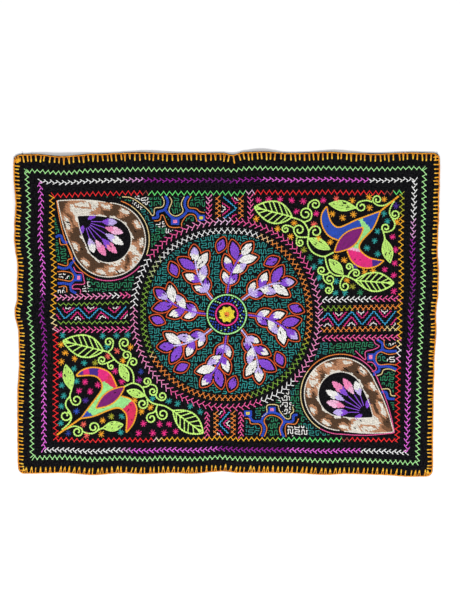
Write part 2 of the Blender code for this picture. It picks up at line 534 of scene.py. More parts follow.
# ways through a cell of the ground, as shares of its size
keyMotifs = [
    [(0.0, 0.17), (0.17, 0.17), (0.17, 0.83), (0.5, 0.83), (0.5, 0.17), (0.83, 0.17), (0.83, 0.83),
     (1.0, 0.83)],
    [(0.0, 0.5), (0.17, 0.5), (0.17, 0.17), (0.83, 0.17), (0.83, 0.83), (0.5, 0.83), (0.5, 0.5)],
    [(0.17, 0.0), (0.17, 0.17), (0.83, 0.17), (0.83, 0.5), (0.17, 0.5), (0.17, 0.83), (0.83, 0.83),
     (0.83, 1.0)],
]
keyShares = [0.4, 0.25, 0.35]  # how often each is used


def keyPieces(motif, cell, stitch=2.4):
    corners = np.array(motif)
    pieces = []
    for first, last in zip(corners, corners[1:]):
        count = max(1, round(np.hypot(*(last - first)) * cell / stitch))
        cuts = first + (last - first) * np.linspace(0, 1, count + 1)[:, None]
        pieces += list(zip(cuts[:-1], cuts[1:]))
    return np.array(pieces)


def crinkled(points):
    # hand-sewn unevenness that keeps joined stitches joined
    x, y = points[:, 0], points[:, 1]
    slow = np.column_stack([np.sin(y / 7.3 + x / 19), np.sin(x / 8.1 - y / 23)]) * 0.8
    quick = np.column_stack([np.sin(2.1 * x + 3.7 * y), np.sin(3.3 * x - 2.9 * y)]) * 0.22
    return points + slow + quick


def mazeFill(patch, inside, low, high, colourAt, cell=6.7, width=0.95, overlap=0.2):
    # a ground of small square keys
    kinds = [keyPieces(motif, cell) for motif in keyMotifs]
    columns = np.arange(math.floor(low[0] / cell) - 1, math.ceil(high[0] / cell) + 1)
    rows = np.arange(math.floor(low[1] / cell) - 1, math.ceil(high[1] / cell) + 1)
    starts, ends = [], []
    for column in columns:
        for row in rows:
            pick = draws.choice(len(kinds), p=keyShares)
            placed = kinds[pick].copy()
            if column % 2:
                placed[..., 0] = 1.0 - placed[..., 0]
            if row % 2:
                placed[..., 1] = 1.0 - placed[..., 1]
            placed = (placed + [column, row]) * cell
            starts.append(placed[:, 0])
            ends.append(placed[:, 1])
    start, end = crinkled(np.vstack(starts)), crinkled(np.vstack(ends))
    reach = unit(end - start) * overlap
    start, end = start - reach, end + reach
    start, end = clipStitches(start, end, lambda points: inside(points) & ~isCovered(points))
    sew(patch, start, end, width, colourAt((start + end) / 2), tall=0.6)


def leafShape(base, tip, width, fullness=0.9, belly=0.5, points=22):
    base, tip = np.asarray(base, float), np.asarray(tip, float)
    share = np.linspace(0, 1, points)
    power = math.log(0.5) / math.log(belly)
    half = width / 2 * np.sin(math.pi * share**power) ** fullness
    way = tip - base
    length = np.hypot(*way)
    way = way / length
    side = np.array([-way[1], way[0]])
    middle = base + share[:, None] * way * length
    return np.vstack([middle + half[:, None] * side, (middle - half[:, None] * side)[-2:0:-1]])


def angleOf(base, tip):
    return math.atan2(tip[1] - base[1], tip[0] - base[0])


def curl(line, centre, turns=1.3, inner=0.28):
    # winds on from the end of a line round a centre, the way that the line is heading
    line = np.asarray(line, float)
    centre = np.asarray(centre, float)
    radial = line[-1] - centre
    heading = line[-1] - line[-2]
    hand = np.sign(radial[0] * heading[1] - radial[1] * heading[0]) or 1.0
    share = np.linspace(0, 1, 20)[1:]
    angle = math.atan2(radial[1], radial[0]) + hand * turns * 2 * math.pi * share
    radius = np.hypot(*radial) * (1 - (1 - inner) * share**1.5)
    wound = centre + radius[:, None] * onCircle(angle)
    return np.vstack([line, wound])


def mixed(low, high, share):
    share = np.clip(np.asarray(share, float), 0, 1)[:, None]
    return low * (1 - share) + high * share


def threadTable(table):
    # each entry is the last place and the thread used up to it
    stops = np.array([row[0] for row in table], float)
    colours = np.array([thread[row[1]] for row in table])
    return lambda place: colours[np.clip(np.searchsorted(stops, place), 0, len(stops) - 1)]

def byPlace(table, axis):
    # colours that change along a row
    colourOf = threadTable(table)
    return lambda points: colourOf(points[:, axis] + draws.uniform(-1.5, 1.5, len(points)))

# Borders

mintBorder = {
    "corners": [(28.1, 170.0), (423.8, 168.3), (423.5, 461.5), (29.7, 459.1)],
    # crossed threads at the top left corner
    "knot": [((24.4, 168.4), (29.2, 173.0)), ((24.6, 172.8), (27.4, 170.0))],
    "rows": [
        {"pitch": 5.3, "depth": 3.0, "tail": 0.9, "width": 0.75, "uneven": 0.3},
        {"pitch": 5.6, "depth": 3.2, "tail": 1.1, "width": 0.75, "lean": 0.35, "uneven": 0.3},
        {"pitch": 5.0, "depth": 3.0, "tail": 1.2, "width": 0.75, "uneven": 0.3},
        {"pitch": 5.6, "depth": 3.2, "tail": 0.95, "width": 0.75, "lean": 0.15, "uneven": 0.3},
    ],
}


def straightLine(start, end, step=4.0):
    start, end = np.asarray(start, float), np.asarray(end, float)
    count = max(2, int(np.hypot(*(end - start)) / step))
    return followCloth(start + (end - start) * np.linspace(0, 1, count + 1)[:, None])


def borderSides(corners):
    for side in range(4):
        yield side, straightLine(corners[side], corners[(side + 1) % 4])


def plain(name):
    return lambda points: allIn(thread[name], points)


def sewMintBorder():
    patch = newPatch("mintBorder")
    for side, line in borderSides(mintBorder["corners"]):
        herringboneRow(patch, line, plain("mint"), **mintBorder["rows"][side])
    knot = np.array(mintBorder["knot"])
    sew(patch, knot[:, 0], knot[:, 1], mintBorder["rows"][0]["width"], thread["mint"], tall=0.7, level=0.2)


featherBorder = {
    "corners": [(40.7, 180.1), (414.1, 179.8), (412.2, 451.2), (42.0, 451.6)],
    "colours": [
        [(129, "white"), (144, "pinkLilac"), (200, "plum"), (236, "deepPurple"), (263, "plum"),
         (372, "orchid"), (430, "white")],
        [(220, "white"), (240, "pinkLilac"), (286, "plum"), (312, "deepPurple"), (349, "plum"),
         (470, "orchid")],
        [(121, "white"), (130, "pinkLilac"), (217, "orchid"), (287, "plum"), (360, "orchid"), (430, "white")],
        [(294, "orchid"), (313, "deepPurple"), (375, "plum"), (470, "orchid")],
    ],
    "rows": [
        {"pitch": 3.05, "depth": 2.3, "inner": 1.15, "back": 2.2, "width": 0.9},
        {"pitch": 2.95, "depth": 2.8, "inner": 1.3, "back": 2.6, "width": 0.92},
        {"pitch": 2.55, "depth": 2.5, "inner": 1.25, "back": 2.3, "width": 0.9},
        {"pitch": 3.1, "depth": 2.6, "inner": 1.25, "back": 2.5, "width": 0.92},
    ],
}


def sewFeatherBorder():
    patch = newPatch("featherBorder")
    for side, line in borderSides(featherBorder["corners"]):
        featherRow(patch, line, byPlace(featherBorder["colours"][side], side % 2),
                   **featherBorder["rows"][side])


innerBorder = {
    "corners": [(51.7, 193.2), (401.8, 192.2), (402.3, 439.8), (54.0, 441.0)],
    "colours": [
        [(141, "red"), (151, "brick"), (247, "green"), (255, "palePink"), (385, "red"), (393, "brick"),
         (410, "green")],
        [(215, "olive"), (341, "mustard"), (346, "cream"), (356, "white"), (361, "pink"), (450, "red")],
        [(154, "red"), (158, "palePink"), (163, "cream"), (265, "mustard"), (280, "olive"),
         (342, "green"), (350, "brick"), (410, "red")],
        [(313, "mustard"), (327, "cream"), (333, "palePink"), (450, "red")],
    ],
    "rows": [
        {"pitch": 5.9, "depth": 4.0, "tail": 0.8, "width": 0.8},
        {"pitch": 5.85, "depth": 3.3, "tail": 1.25, "width": 0.8},
        {"pitch": 5.3, "depth": 2.8, "tail": 1.1, "width": 0.8},
        {"pitch": 5.85, "depth": 3.7, "tail": 1.25, "width": 0.8},
    ],
    "clear": 3.0,
}


def sewInnerBorder():
    patch = newPatch("innerBorder")
    for side, line in borderSides(innerBorder["corners"]):
        herringboneRow(patch, line, byPlace(innerBorder["colours"][side], side % 2),
                       **innerBorder["rows"][side])
        coverLine(line, innerBorder["clear"])


# The two rings round the middle

rings = {
    "centre": (227.2, 313.8),
    # degrees clockwise from the right, and how far both rings swell out there
    "swell": [(0, -1.6), (15, -0.8), (30, 0.2), (45, 0.6), (60, 0.4), (75, 0.0), (90, -0.3), (105, 0.0),
              (120, 0.6), (135, 0.8), (150, 0.9), (165, -0.3), (180, -0.9), (195, -0.3), (210, 1.2),
              (220, 1.9), (232, 1.3), (240, 0.8), (255, -0.6), (270, -1.1), (285, -0.4), (300, 0.3),
              (315, 0.3), (330, -0.6), (345, -1.6)],
    "inner": {"radius": 84.5, "row": {"pitch": 5.7, "depth": 3.1, "tail": 2.0, "width": 0.68},
              "clear": 3.5},
    "outer": {"radius": 93.9,
              "row": {"pitch": 3.03, "depth": 3.9, "inner": 1.4, "back": 2.3, "width": 0.88},
              "clear": 4.3},
    "field": 80.6,
    "outside": 98.2,
    # degrees where each colour ends
    "innerColours": [(18, "orange"), (22, "olive"), (75, "leafGreen"), (149, "orange"), (153, "peach"),
                     (206, "leafGreen"), (218, "sage"), (293, "white"), (302, "peach"), (360, "orange")],
    "outerColours": [(44, "pink"), (68, "white"), (128, "rose"), (185, "pink"), (217, "white"),
                     (244, "rose"), (264, "pink"), (274, "palePink"), (338, "rose"), (360, "pink")],
}


def byAngle(table, centre):
    colourOf = threadTable(table)

    def colourAt(points):
        angle = np.degrees(np.arctan2(points[:, 1] - centre[1], points[:, 0] - centre[0])) % 360
        return colourOf(np.clip(angle + draws.uniform(-2, 2, len(points)), 0, 359.9))
    return colourAt

def circleLine(centre, radius, points=180):
    angle = np.linspace(0, 2 * math.pi, points + 1)
    return np.asarray(centre, float) + radius * onCircle(angle)


def ringLine(radius, points=180):
    degrees = np.linspace(0, 360, points + 1)
    reach = radius + np.interp(degrees, *np.array(rings["swell"], float).T, period=360)
    angle = np.radians(degrees)
    return np.array(rings["centre"]) + reach[:, None] * onCircle(angle)


def sewRings():
    patch = newPatch("ringRows")
    for kind, sewRow in (("inner", herringboneRow), ("outer", featherRow)):
        ring = rings[kind]
        line = ringLine(ring["radius"])
        sewRow(patch, line, byAngle(rings[kind + "Colours"], rings["centre"]), **ring["row"])
        coverLine(line, ring["clear"])


# The four panels between the middle and the border

# every row runs from its first point to its last, and its tails point back; a feather row is its line,
# pitch and colours, and a zigzag its line and colours
panels = {
    "left": {
        "axis": 0, "depth": 3.1, "cover": [(52, 300), (134, 297), (134, 330), (52, 330)],
        "feathers": [
            ([(57, 297.5), (85, 296.6), (131, 294.7)], 2.75, [(113, "pink"), (121, "white"),
              (140, "rose")]),
            ([(57, 329.6), (131, 329.3)], 2.87, [(140, "rose")]),
        ],
        "zigzags": [
            ([(58.6, 304.5), (95, 303.6), (129, 302.2)], [(140, "leafGreen")]),
            ([(58.6, 322.6), (129, 322.2)], [(140, "leafGreen")]),
        ],
        "zigzagRow": {"pitch": 5.3, "depth": 2.3, "tail": 0.9, "width": 0.72},
        "steps": {
            "sky": [[(57.2, 307.5), (65.2, 318.7), (78.7, 307.2), (89.3, 318.7), (99.9, 307.8),
                     (115.7, 318.7), (126.6, 306.1)]],
            "magenta": [[(63.2, 307.5), (66.6, 313), (74.7, 307.5)],
                        [(84.4, 307.2), (89.3, 312.7), (97.6, 307.2)],
                        [(108.6, 307.2), (114.9, 312.7), (120.9, 306.4)],
                        [(71.2, 319), (77.8, 311.5), (84.4, 319)],
                        [(96.5, 318.7), (101.4, 311.8), (109.1, 318.4)], [(120.9, 319), (128.1, 310.7)],
                        [(56.9, 314.1), (60.3, 319.3)]],
            "white": [[(65.8, 307.2), (67.8, 309), (71.2, 307.2)],
                      [(87.9, 306.4), (90.5, 309), (94.8, 306.7)],
                      [(113.1, 307.2), (115.4, 308.7), (118.6, 306.4)],
                      [(75.3, 320.1), (77.6, 316.1), (81.3, 319.9)],
                      [(99.4, 319.3), (102.2, 315.5), (106.5, 318.1)], [(124.6, 318.7), (128.1, 314.1)]],
        },
    },
    "right": {
        "axis": 0, "depth": 3.1, "cover": [(320, 299), (402, 298), (402, 337), (320, 338)],
        "feathers": [
            ([(399, 298.5), (360, 299), (322.5, 299.7)], 2.72, [(372, "white"), (410, "rose")]),
            ([(399, 337.3), (322.5, 337.9)], 2.75, [(410, "rose")]),
        ],
        "zigzags": [
            ([(323, 308.3), (360, 307.6), (398.6, 306.4)], [(340, "leafGreen"), (352, "olive"),
              (410, "orange")]),
            ([(322, 329.6), (398.6, 328.2)], [(385, "orange"), (410, "cream")]),
        ],
        "zigzagRow": {"pitch": 5.45, "depth": 2.7, "tail": 1.9, "width": 0.72},
        "steps": {
            "sky": [[(323.7, 318.1), (328.3, 312.4), (338.7, 325.9), (352.1, 311.2), (362.5, 324.7),
                     (374.2, 310.7), (385.4, 324.4), (396.1, 310.7)]],
            "magenta": [[(333.5, 312.4), (338.7, 320.4), (346.7, 311.8)],
                        [(356.7, 312.1), (362.5, 318.4), (368.5, 311.2)],
                        [(379.4, 310.4), (384.9, 317.3), (391.5, 310.7)],
                        [(323.2, 321.3), (328.6, 317.6), (333.8, 325.6)],
                        [(344.1, 326.2), (352.1, 316.4), (357.6, 324.4)],
                        [(367.6, 324.7), (374, 316.4), (380.6, 324.2)],
                        [(391.2, 325), (396.9, 317.8)]],
            "white": [[(335.5, 312.4), (339.2, 315.8), (342.7, 312.4)],
                      [(358.2, 311), (361.6, 314.1), (364.5, 311)],
                      [(381.4, 309.8), (384.9, 313), (388.3, 309.8)],
                      [(324.3, 326.5), (328, 323), (331.8, 326.5)],
                      [(348.1, 325.9), (351.6, 321.9), (355.6, 325.6)],
                      [(369.9, 325.6), (373.4, 321.9), (377.1, 324.7)],
                      [(394.6, 325.6), (395.8, 322.7)]],
        },
    },
    "top": {
        "axis": 1, "depth": 3.1, "cover": [(209, 192), (251, 192), (251, 222), (209, 222)],
        "feathers": [
            ([(209.5, 196.5), (209.2, 219)], 2.55, [(206, "pink"), (230, "rose")]),
            ([(250.8, 196), (251, 218.6)], 2.55, [(230, "rose")]),
        ],
        "zigzags": [
            ([(218.4, 196.3), (218.4, 217.8)], [(230, "orange")]),
            ([(241.3, 196.3), (241.3, 217.8)], [(230, "orange")]),
        ],
        "zigzagRow": {"pitch": 4.9, "depth": 2.6, "tail": 1.9, "width": 0.72},
        "steps": {
            "sky": [[(223.6, 196.7), (237, 208.3), (224.9, 217.7)]],
            "magenta": [[(222.5, 202.7), (230.7, 208.3), (222.7, 215)],
                        [(232, 197.1), (236.1, 203.4), (238.3, 202)],
                        [(237, 214.3), (232.9, 215.9), (232.3, 218.1)]],
            "white": [[(222.2, 205.4), (226.3, 208.3), (222, 212.1)], [(234.5, 197.1), (238.5, 200.5)]],
        },
    },
    "bottom": {
        "axis": 1, "depth": 2.8, "cover": [(207, 406), (242, 406), (242, 440), (207, 440)],
        "feathers": [
            ([(207.3, 436), (207.7, 411.6)], 2.4, [(440, "rose")]),
            ([(241.2, 436), (241.5, 411.6)], 2.4, [(440, "rose")]),
        ],
        "zigzags": [
            ([(216.3, 411.4), (216.3, 436)], [(440, "orange")]),
            ([(233.6, 411.4), (233.6, 436)], [(440, "orange")]),
        ],
        "zigzagRow": {"pitch": 4.5, "depth": 2.6, "tail": 1.7, "width": 0.72},
        "steps": {
            "sky": [[(229.9, 411.6), (219.3, 423.6), (228.6, 433.2)]],
            "magenta": [[(229.4, 417.8), (223.4, 423.6), (229.9, 428.6)],
                        [(224, 410.2), (225.7, 412), (220.3, 417.8)],
                        [(218.2, 430.3), (220.3, 430.1), (223.6, 435.2)]],
            "white": [[(230.3, 420.5), (226.5, 423.2), (230.7, 426.5)], [(222.6, 410.8), (219.3, 414.5)],
                      [(217.4, 432.8), (220.5, 434.8)]],
        },
    },
}


def sewPanel(name):
    panel = panels[name]
    patch = newPatch(name + "Panel")
    axis = panel["axis"]
    for route, pitch, colours in panel["feathers"]:
        line = curved(route)
        featherRow(patch, line, byPlace(colours, axis), pitch=pitch, depth=panel["depth"])
        coverLine(line, 4.0)
    for route, colours in panel["zigzags"]:
        herringboneRow(patch, curved(route), byPlace(colours, axis), **panel["zigzagRow"])
    for colour, lines in panel["steps"].items():
        for line in lines:
            steppedLine(patch, line, thread[colour])
    coverShape(panel["cover"])


# Flowers, scrolls and leaves of the two other corners. A stem is its path, with the middle and the turns
# of its curl; a leaf is its base, tip and width, and where a veined one is widest

topRightCorner = {
    "patch": "topRightFlower",
    "stems": [
        ([(292, 217), (297, 218.6), (304, 222), (308.7, 230), (308.7, 237), (308, 244), (313, 252),
          (321, 256), (326, 256), (334.2, 252.2)],),
        ([(325.5, 256), (326, 260.4), (327.6, 266.5), (330, 271.2), (335.7, 275.2), (343.9, 275.7),
          (349, 276.7), (356, 280.3)],),
        ([(304.5, 222), (310.5, 219.5), (312.3, 214.5)], (306.2, 213.6), 1.35),
        ([(308.6, 209.2), (308.6, 204), (312.6, 200.4)], (315.6, 204.2)),
        ([(308.5, 237), (298.5, 236.8), (294.4, 232.2)], (299.4, 229.9), 1.2),
        ([(294.0, 228.0), (291, 225.9), (287.4, 225.2)], (286.0, 229.0)),
        ([(297.5, 237), (296.6, 241.5)], (300.4, 242.4)),
        ([(308.6, 232.2), (310.5, 229.2)], (316.0, 231.3), 1.25),
        ([(348.4, 276.4), (350.5, 271.8), (354.0, 269.6)], (356.2, 273.0)),
        ([(353.8, 270.2), (353.2, 266.4)], (349.6, 266.6)),
        ([(344.2, 276.2), (341, 281), (340.4, 285.6)], (345.1, 286.0), 1.2),
        ([(330.2, 271.8), (326.6, 274.6), (322.4, 274.4)], (322.0, 270.2)),
        ([(323.4, 274.8), (324, 279), (326.6, 282.6)], (330.0, 279.2)),
        ([(331.4, 283.6), (333.4, 287.4), (332.6, 291)], (329.0, 289.8)),
        ([(393, 200.6), (386.5, 204.6), (379.5, 205.6), (374.4, 203)], (377.6, 199.6)),
        ([(372.8, 201.8), (367, 200.2), (361, 201.2)], (361.8, 206.4), 1.2),
        ([(358.6, 208.2), (354.4, 207.6)],),
        ([(394.6, 200.8), (391, 207), (389.8, 213), (392.6, 218.2)], (395.2, 214.2)),
        ([(392.6, 218.4), (395.4, 223.4), (393.4, 229.4), (388, 231.8)], (386.2, 227.6)),
        ([(383.6, 231.4), (384.6, 235.4), (385.2, 239)],),
    ],
    "veinedLeaves": [
        ((292.3, 216.6), (254.6, 207), 22, 0.46),
        ((356, 280.3), (394.4, 283.1), 19, 0.5),
    ],
    "fullLeaves": [
        ((308.9, 238), (330.8, 249.4), 9.5),
        ((343.6, 274.2), (329.3, 258.9), 9.6),
        ((356.4, 207.6), (329, 203.6), 10.2),
        ((385.2, 238.5), (390.5, 263), 10.6),
    ],
    "flower": {
        "arms": [
            {"out": [(380.7, 211), (357, 219.6), (347, 224.4), (338.3, 227.3), (332.6, 223.4),
                     (329.4, 216.7), (327.2, 205.8)],
             "back": [(327.2, 205.8), (322.6, 212.6), (321.4, 219.7), (323.6, 228.2), (329.6, 236.2),
                      (339.8, 240.6)]},
            {"out": [(380.7, 211), (377.1, 221), (372.4, 229.7), (362.9, 239.7), (359.3, 246.9),
                     (362.9, 252.8), (371.3, 258.2), (384.6, 260.6)],
             "back": [(384.6, 260.6), (377.1, 266.0), (367, 268.1), (357, 265.3), (351.0, 259.4),
                      (347.5, 250.9)]},
        ],
        "heart": {"base": (363.8, 227.2), "tip": (334.6, 252.1), "width": 15.0},
        "stalk": (399, 196),
        "colours": {
            "royal": [(371, 218.5), (358.6, 223.5), (365.3, 218.7), (370.4, 224.2), (338, 233), (325, 215),
                      (377, 222)],
            "mint": [(362, 221.5), (366.5, 227.5), (363, 236), (359, 239), (356.2, 246.4)],
            "palePink": [(355.3, 249.4)], "magenta": [(354.8, 251.8), (365, 263)], "violet": [(380, 262)],
        },
    },
    "stars": {
        "magenta": [(259, 200), (269.4, 199), (280.4, 199), (292, 200.2), (303.6, 201), (323.7, 200.2),
                    (296.7, 211), (316.6, 213.5), (392.9, 236.7), (395.9, 249.4), (395.2, 263),
                    (385.2, 269.3), (394, 275.2), (394.4, 291)],
        "coral": [(314.3, 224), (336.7, 198.7)],
        "mustard": [(256.6, 218.6), (294.4, 222.7), (278, 228.6), (291, 236.5), (319, 238), (352.8, 200.2),
                    (369.4, 197), (384.7, 199), (332.7, 213.8), (343, 217.6), (353.8, 214.3),
                    (369.9, 207.6), (397.2, 221.7), (330.6, 242), (336.2, 257), (344.4, 260),
                    (364.8, 271.6), (373.5, 270.6), (347.2, 280.3)],
        "teal": [(384.4, 213.5), (387.8, 221), (377.8, 231), (375, 240.6), (367.3, 247.7), (378, 253.8),
                 (336.5, 281.3), (336, 292.8), (345.4, 292.8), (321, 261.2), (314.3, 266.5),
                 (319.6, 277.5), (322, 286)],
        "violet": [(396.2, 205.6), (355.6, 266)],
        "olive": [(353, 286.4), (304.3, 249.7)],
        "darkGreen": [(360.7, 292.3), (310.5, 257.3)],
    },
}

bottomLeftCorner = {
    "patch": "bottomLeftFlower",
    "stems": [
        ([(103.5, 350.5), (108.6, 352), (113.2, 357), (116.3, 360.7), (120, 363.3), (127.5, 365.8),
          (132, 370), (134, 376), (134.1, 382.7)],),
        ([(124.7, 386.4), (132, 383), (135, 383.2), (140.2, 385.1), (143.8, 389.2), (145.3, 394.8),
          (149, 400), (153, 403), (158.6, 404.5), (165.7, 406), (173.4, 410.6)],),
        ([(108.6, 351.6), (112.4, 348.4), (113.6, 343.6)], (109.3, 342.0)),
        ([(114.8, 359.2), (108, 362.6), (102.6, 364.2)], (102.5, 360.0)),
        ([(108, 362.6), (108.6, 367.2)], (111.4, 366.2), 1.0),
        ([(127.6, 365.6), (128.4, 362.2), (130.4, 358.9)], (133.5, 362.0), 1.2),
        ([(130.0, 359.6), (131.2, 357.0)], (127.0, 355.2)),
        ([(125.6, 350.8), (121.4, 348.6), (119.8, 344.2)], (124.7, 342.9)),
        ([(143.2, 386.8), (147.6, 386.4), (151.0, 383.4)], (147.5, 381.4)),
        ([(151.0, 384.2), (155.0, 385.0), (157.4, 388.2), (157.6, 391.4)], (153.4, 391.3)),
        ([(156.2, 394.2), (156.8, 397.2), (159.6, 399.5)], (162.5, 396.0)),
        ([(147.4, 398.8), (148.2, 402.6)], (143.2, 403.6)),
        ([(158, 404.6), (156.4, 409.6), (157.8, 415.4)], (163.0, 414.0)),
        ([(156.6, 408.4), (155.4, 411.6), (152.6, 412.9)], (151.7, 418.0)),
        ([(71.9, 390.2), (70.2, 395.4), (71.6, 401.8)], (76.6, 399.8), 1.2),
        ([(70.4, 396.2), (66.4, 401), (66.4, 406.4), (70.2, 411.4)], (66.0, 415.3), 1.2),
        ([(67.6, 411.4), (72, 416), (69.6, 423), (62.2, 429.5)],),
        ([(60.5, 432), (67, 428.6), (75, 425.8), (82, 428.2)], (78.0, 431.4)),
        ([(82.4, 430.6), (87, 433.0), (93.4, 433.2), (98.4, 430.4)], (94.2, 427.2)),
        ([(98.4, 429.8), (103, 428)],),
    ],
    "veinedLeaves": [
        ((103.5, 350.5), (63.2, 340.8), 22, 0.46),
        ((173.4, 410.6), (203.5, 433.1), 20, 0.5),
    ],
    "fullLeaves": [
        ((120, 364), (129, 381.6), 8.6),
        ((145.3, 395.8), (127, 390.5), 8),
        ((71.9, 390.2), (66, 364), 10.5),
        ((103, 428), (124.2, 424.4), 9.6),
    ],
    "flower": {
        "arms": [
            {"out": [(80.9, 418.3), (88.6, 408.2), (97, 397), (101.9, 390), (102.6, 384.4), (99.8, 378.8),
                     (92.8, 375.2), (75.9, 376)],
             "back": [(75.9, 376), (82, 370.2), (92, 367.2), (102.8, 368.6), (111.4, 374), (117.3, 386.3)]},
            {"out": [(80.9, 418.3), (94.2, 416), (108.2, 410.3), (118, 407.5), (123.6, 410.3),
                     (127.2, 416.6), (126.5, 432.8)],
             "back": [(126.5, 432.8), (133.4, 424), (137, 413.2), (136.4, 405.2), (131.4, 399),
                      (122.2, 395.9)]},
        ],
        "heart": {"base": (96.2, 408.2), "tip": (125.2, 386.4), "width": 12.2},
        "stalk": (57.3, 434.8),
        "colours": {
            "royal": [(84.5, 415.5)],
            "mint": [(92, 407), (100, 396), (107, 388), (102, 411), (114, 404), (124, 401)],
            "crimson": [(111, 381), (131, 409), (132, 418), (129, 427)],
            "magenta": [(104, 375), (87.5, 373)], "violet": [(92.5, 371.5), (80, 374.5)],
        },
    },
    "stars": {
        "teal": [(63, 335), (103, 335.7), (117, 335.5), (128, 334.7), (107.4, 346.2), (74.4, 368.4),
                 (77, 381), (62.2, 385.2), (64, 395.8), (61.7, 406), (84.7, 362.8), (61.2, 423),
                 (122.2, 416.2), (120.9, 432), (153, 398.4), (169.3, 401), (178, 403.5),
                 (190.7, 406), (200.7, 411.6)],
        "navy": [(141.2, 371.4), (68.6, 433)],
        "royal": [(77, 411)],
        "violet": [(85.9, 400.2)],
        "coral": [(117.3, 350.8), (108.6, 356), (83.9, 424), (86.9, 435)],
        "mustard": [(123.2, 360.5), (61.4, 344.4), (65.8, 352.8), (75, 358.4), (61.9, 361.7),
                    (103, 420.3), (101.7, 434), (131, 347), (135, 400), (151, 407), (142, 411.4)],
        "olive": [(95.4, 362.5), (111.7, 416.2)],
        "magenta": [(115.3, 371), (60.9, 374.7), (85.4, 381.6), (98.2, 384.7), (122.2, 381.6),
                    (79.3, 390.7), (90.5, 391.2), (143.8, 423.4), (160, 424), (169.5, 424),
                    (138.9, 433), (153.2, 433), (164.7, 432.8), (176.2, 431.3)],
        "plum": [(139.4, 379.8)],
    },
}


veinedLeaf = {"fullness": 0.86, "rimWidth": 1.8, "midribWidth": 1.6, "clear": 2.0,
              "veins": (0.10, 0.24, 0.38, 0.52, 0.66, 0.80), "sweep": 0.17, "last": 0.96,
              "veinWidth": 1.35}
fullLeaf = {"fullness": 1.05, "fill": {"gaps": 0.1, "length": 1.7, "width": 0.98}, "rimWidth": 1.15,
            "clear": 2.0}
lily = {"lean": 0.35, "petalStitch": 1.5, "heartFullness": 0.9, "heartStitch": 2.0, "clear": 2.2,
        "rim": {"width": 1.7, "level": 0.2}, "heartRim": {"width": 1.6, "level": 0.2},
        "stalk": {"width": 2.1, "level": 0.25}}


def sewVeinedLeaf(patch, base, tip, width, belly):
    base, tip = np.array(base, float), np.array(tip, float)
    outline = leafShape(base, tip, width, veinedLeaf["fullness"], belly)
    lime = thread["lime"]
    stemLine(patch, closedUp(outline), lime, width=veinedLeaf["rimWidth"])
    stemLine(patch, [base, tip], lime, width=veinedLeaf["midribWidth"], level=0.1)
    half = len(outline) // 2
    for share in veinedLeaf["veins"]:
        root = base + (tip - base) * share
        meets = min(share + veinedLeaf["sweep"], veinedLeaf["last"])
        for rim in (outline[: half + 1], outline[half:][::-1]):
            reach = np.interp(meets, np.linspace(0, 1, len(rim)), np.arange(len(rim)))
            stemLine(patch, [root, rim[int(round(reach))]], lime, width=veinedLeaf["veinWidth"])
    coverShape(outline, veinedLeaf["clear"])


def sewFullLeaf(patch, base, tip, width):
    outline = leafShape(base, tip, width, fullLeaf["fullness"])
    fillShape(patch, outline, angleOf(base, tip), thread["lime"], **fullLeaf["fill"])
    stemLine(patch, closedUp(outline), thread["lime"], width=fullLeaf["rimWidth"])
    coverShape(outline, fullLeaf["clear"])


def byNearest(table):
    # each thread has its places, and the nearest place wins
    colours = np.array([thread[name] for name, places in table.items() for place in places])
    places = np.array([place for places in table.values() for place in places], float)

    def colourAt(points):
        points = points + draws.uniform(-0.3, 0.3, points.shape)
        away = np.hypot(points[:, None, 0] - places[None, :, 0], points[:, None, 1] - places[None, :, 1])
        return colours[np.argmin(away, axis=1)]
    return colourAt


def sewLily(patch, flower):
    rims = [np.vstack([curved(arm["out"], fine=4), curved(arm["back"], fine=4)[1:]])
            for arm in flower["arms"]]
    apex, base = np.array(flower["arms"][0]["out"][0], float), np.array(flower["heart"]["base"], float)
    tip = np.array(flower["heart"]["tip"], float)
    heart = leafShape(base, tip, flower["heart"]["width"], lily["heartFullness"])
    colourAt = byNearest(flower["colours"])
    for rim, lean in zip(rims, (lily["lean"], -lily["lean"])):
        petal = np.vstack([rim, (base + tip) / 2, base])
        fillZone(patch, lambda points: insideShape(petal, points) & ~insideShape(heart, points),
                 petal.min(0), petal.max(0), angleOf(apex, tip) + lean, colourAt,
                 length=lily["petalStitch"])
        coverShape(petal, lily["clear"])
    fillShape(patch, heart, angleOf(base, tip), thread["wine"], length=lily["heartStitch"])
    gold = thread["mustard"]
    for rim in rims:
        stemLine(patch, rim, gold, avoid=lambda points: insideShape(heart, points), **lily["rim"])
    stemLine(patch, closedUp(heart), gold, **lily["heartRim"])
    stemLine(patch, [apex, flower["stalk"]], gold, **lily["stalk"])
    coverShape(heart, lily["clear"])


def sewFlowerCorner(corner):
    patch = newPatch(corner["patch"])
    for route, *wind in corner["stems"]:
        line = curved(route)
        if wind:
            line = curl(line, *wind)
        stemLine(patch, line, thread["lime"], width=1.75, clear=2.2)
    for leaf in corner["veinedLeaves"]:
        sewVeinedLeaf(patch, *leaf)
    for leaf in corner["fullLeaves"]:
        sewFullLeaf(patch, *leaf)
    sewLily(patch, corner["flower"])
    for name, places in corner["stars"].items():
        for x, y in places:
            sewStar(patch, x, y, thread[name])


# The two corners with a large drop

drops = {
    "topLeft": {"tip": (57.0, 200.0), "centre": (108.9, 239.8), "radius": 37.6},
    "bottomRight": {"tip": (395.0, 432.5), "centre": (341.0, 394.0), "radius": 36.8},
    "core": 0.60, "scallops": 11,
}


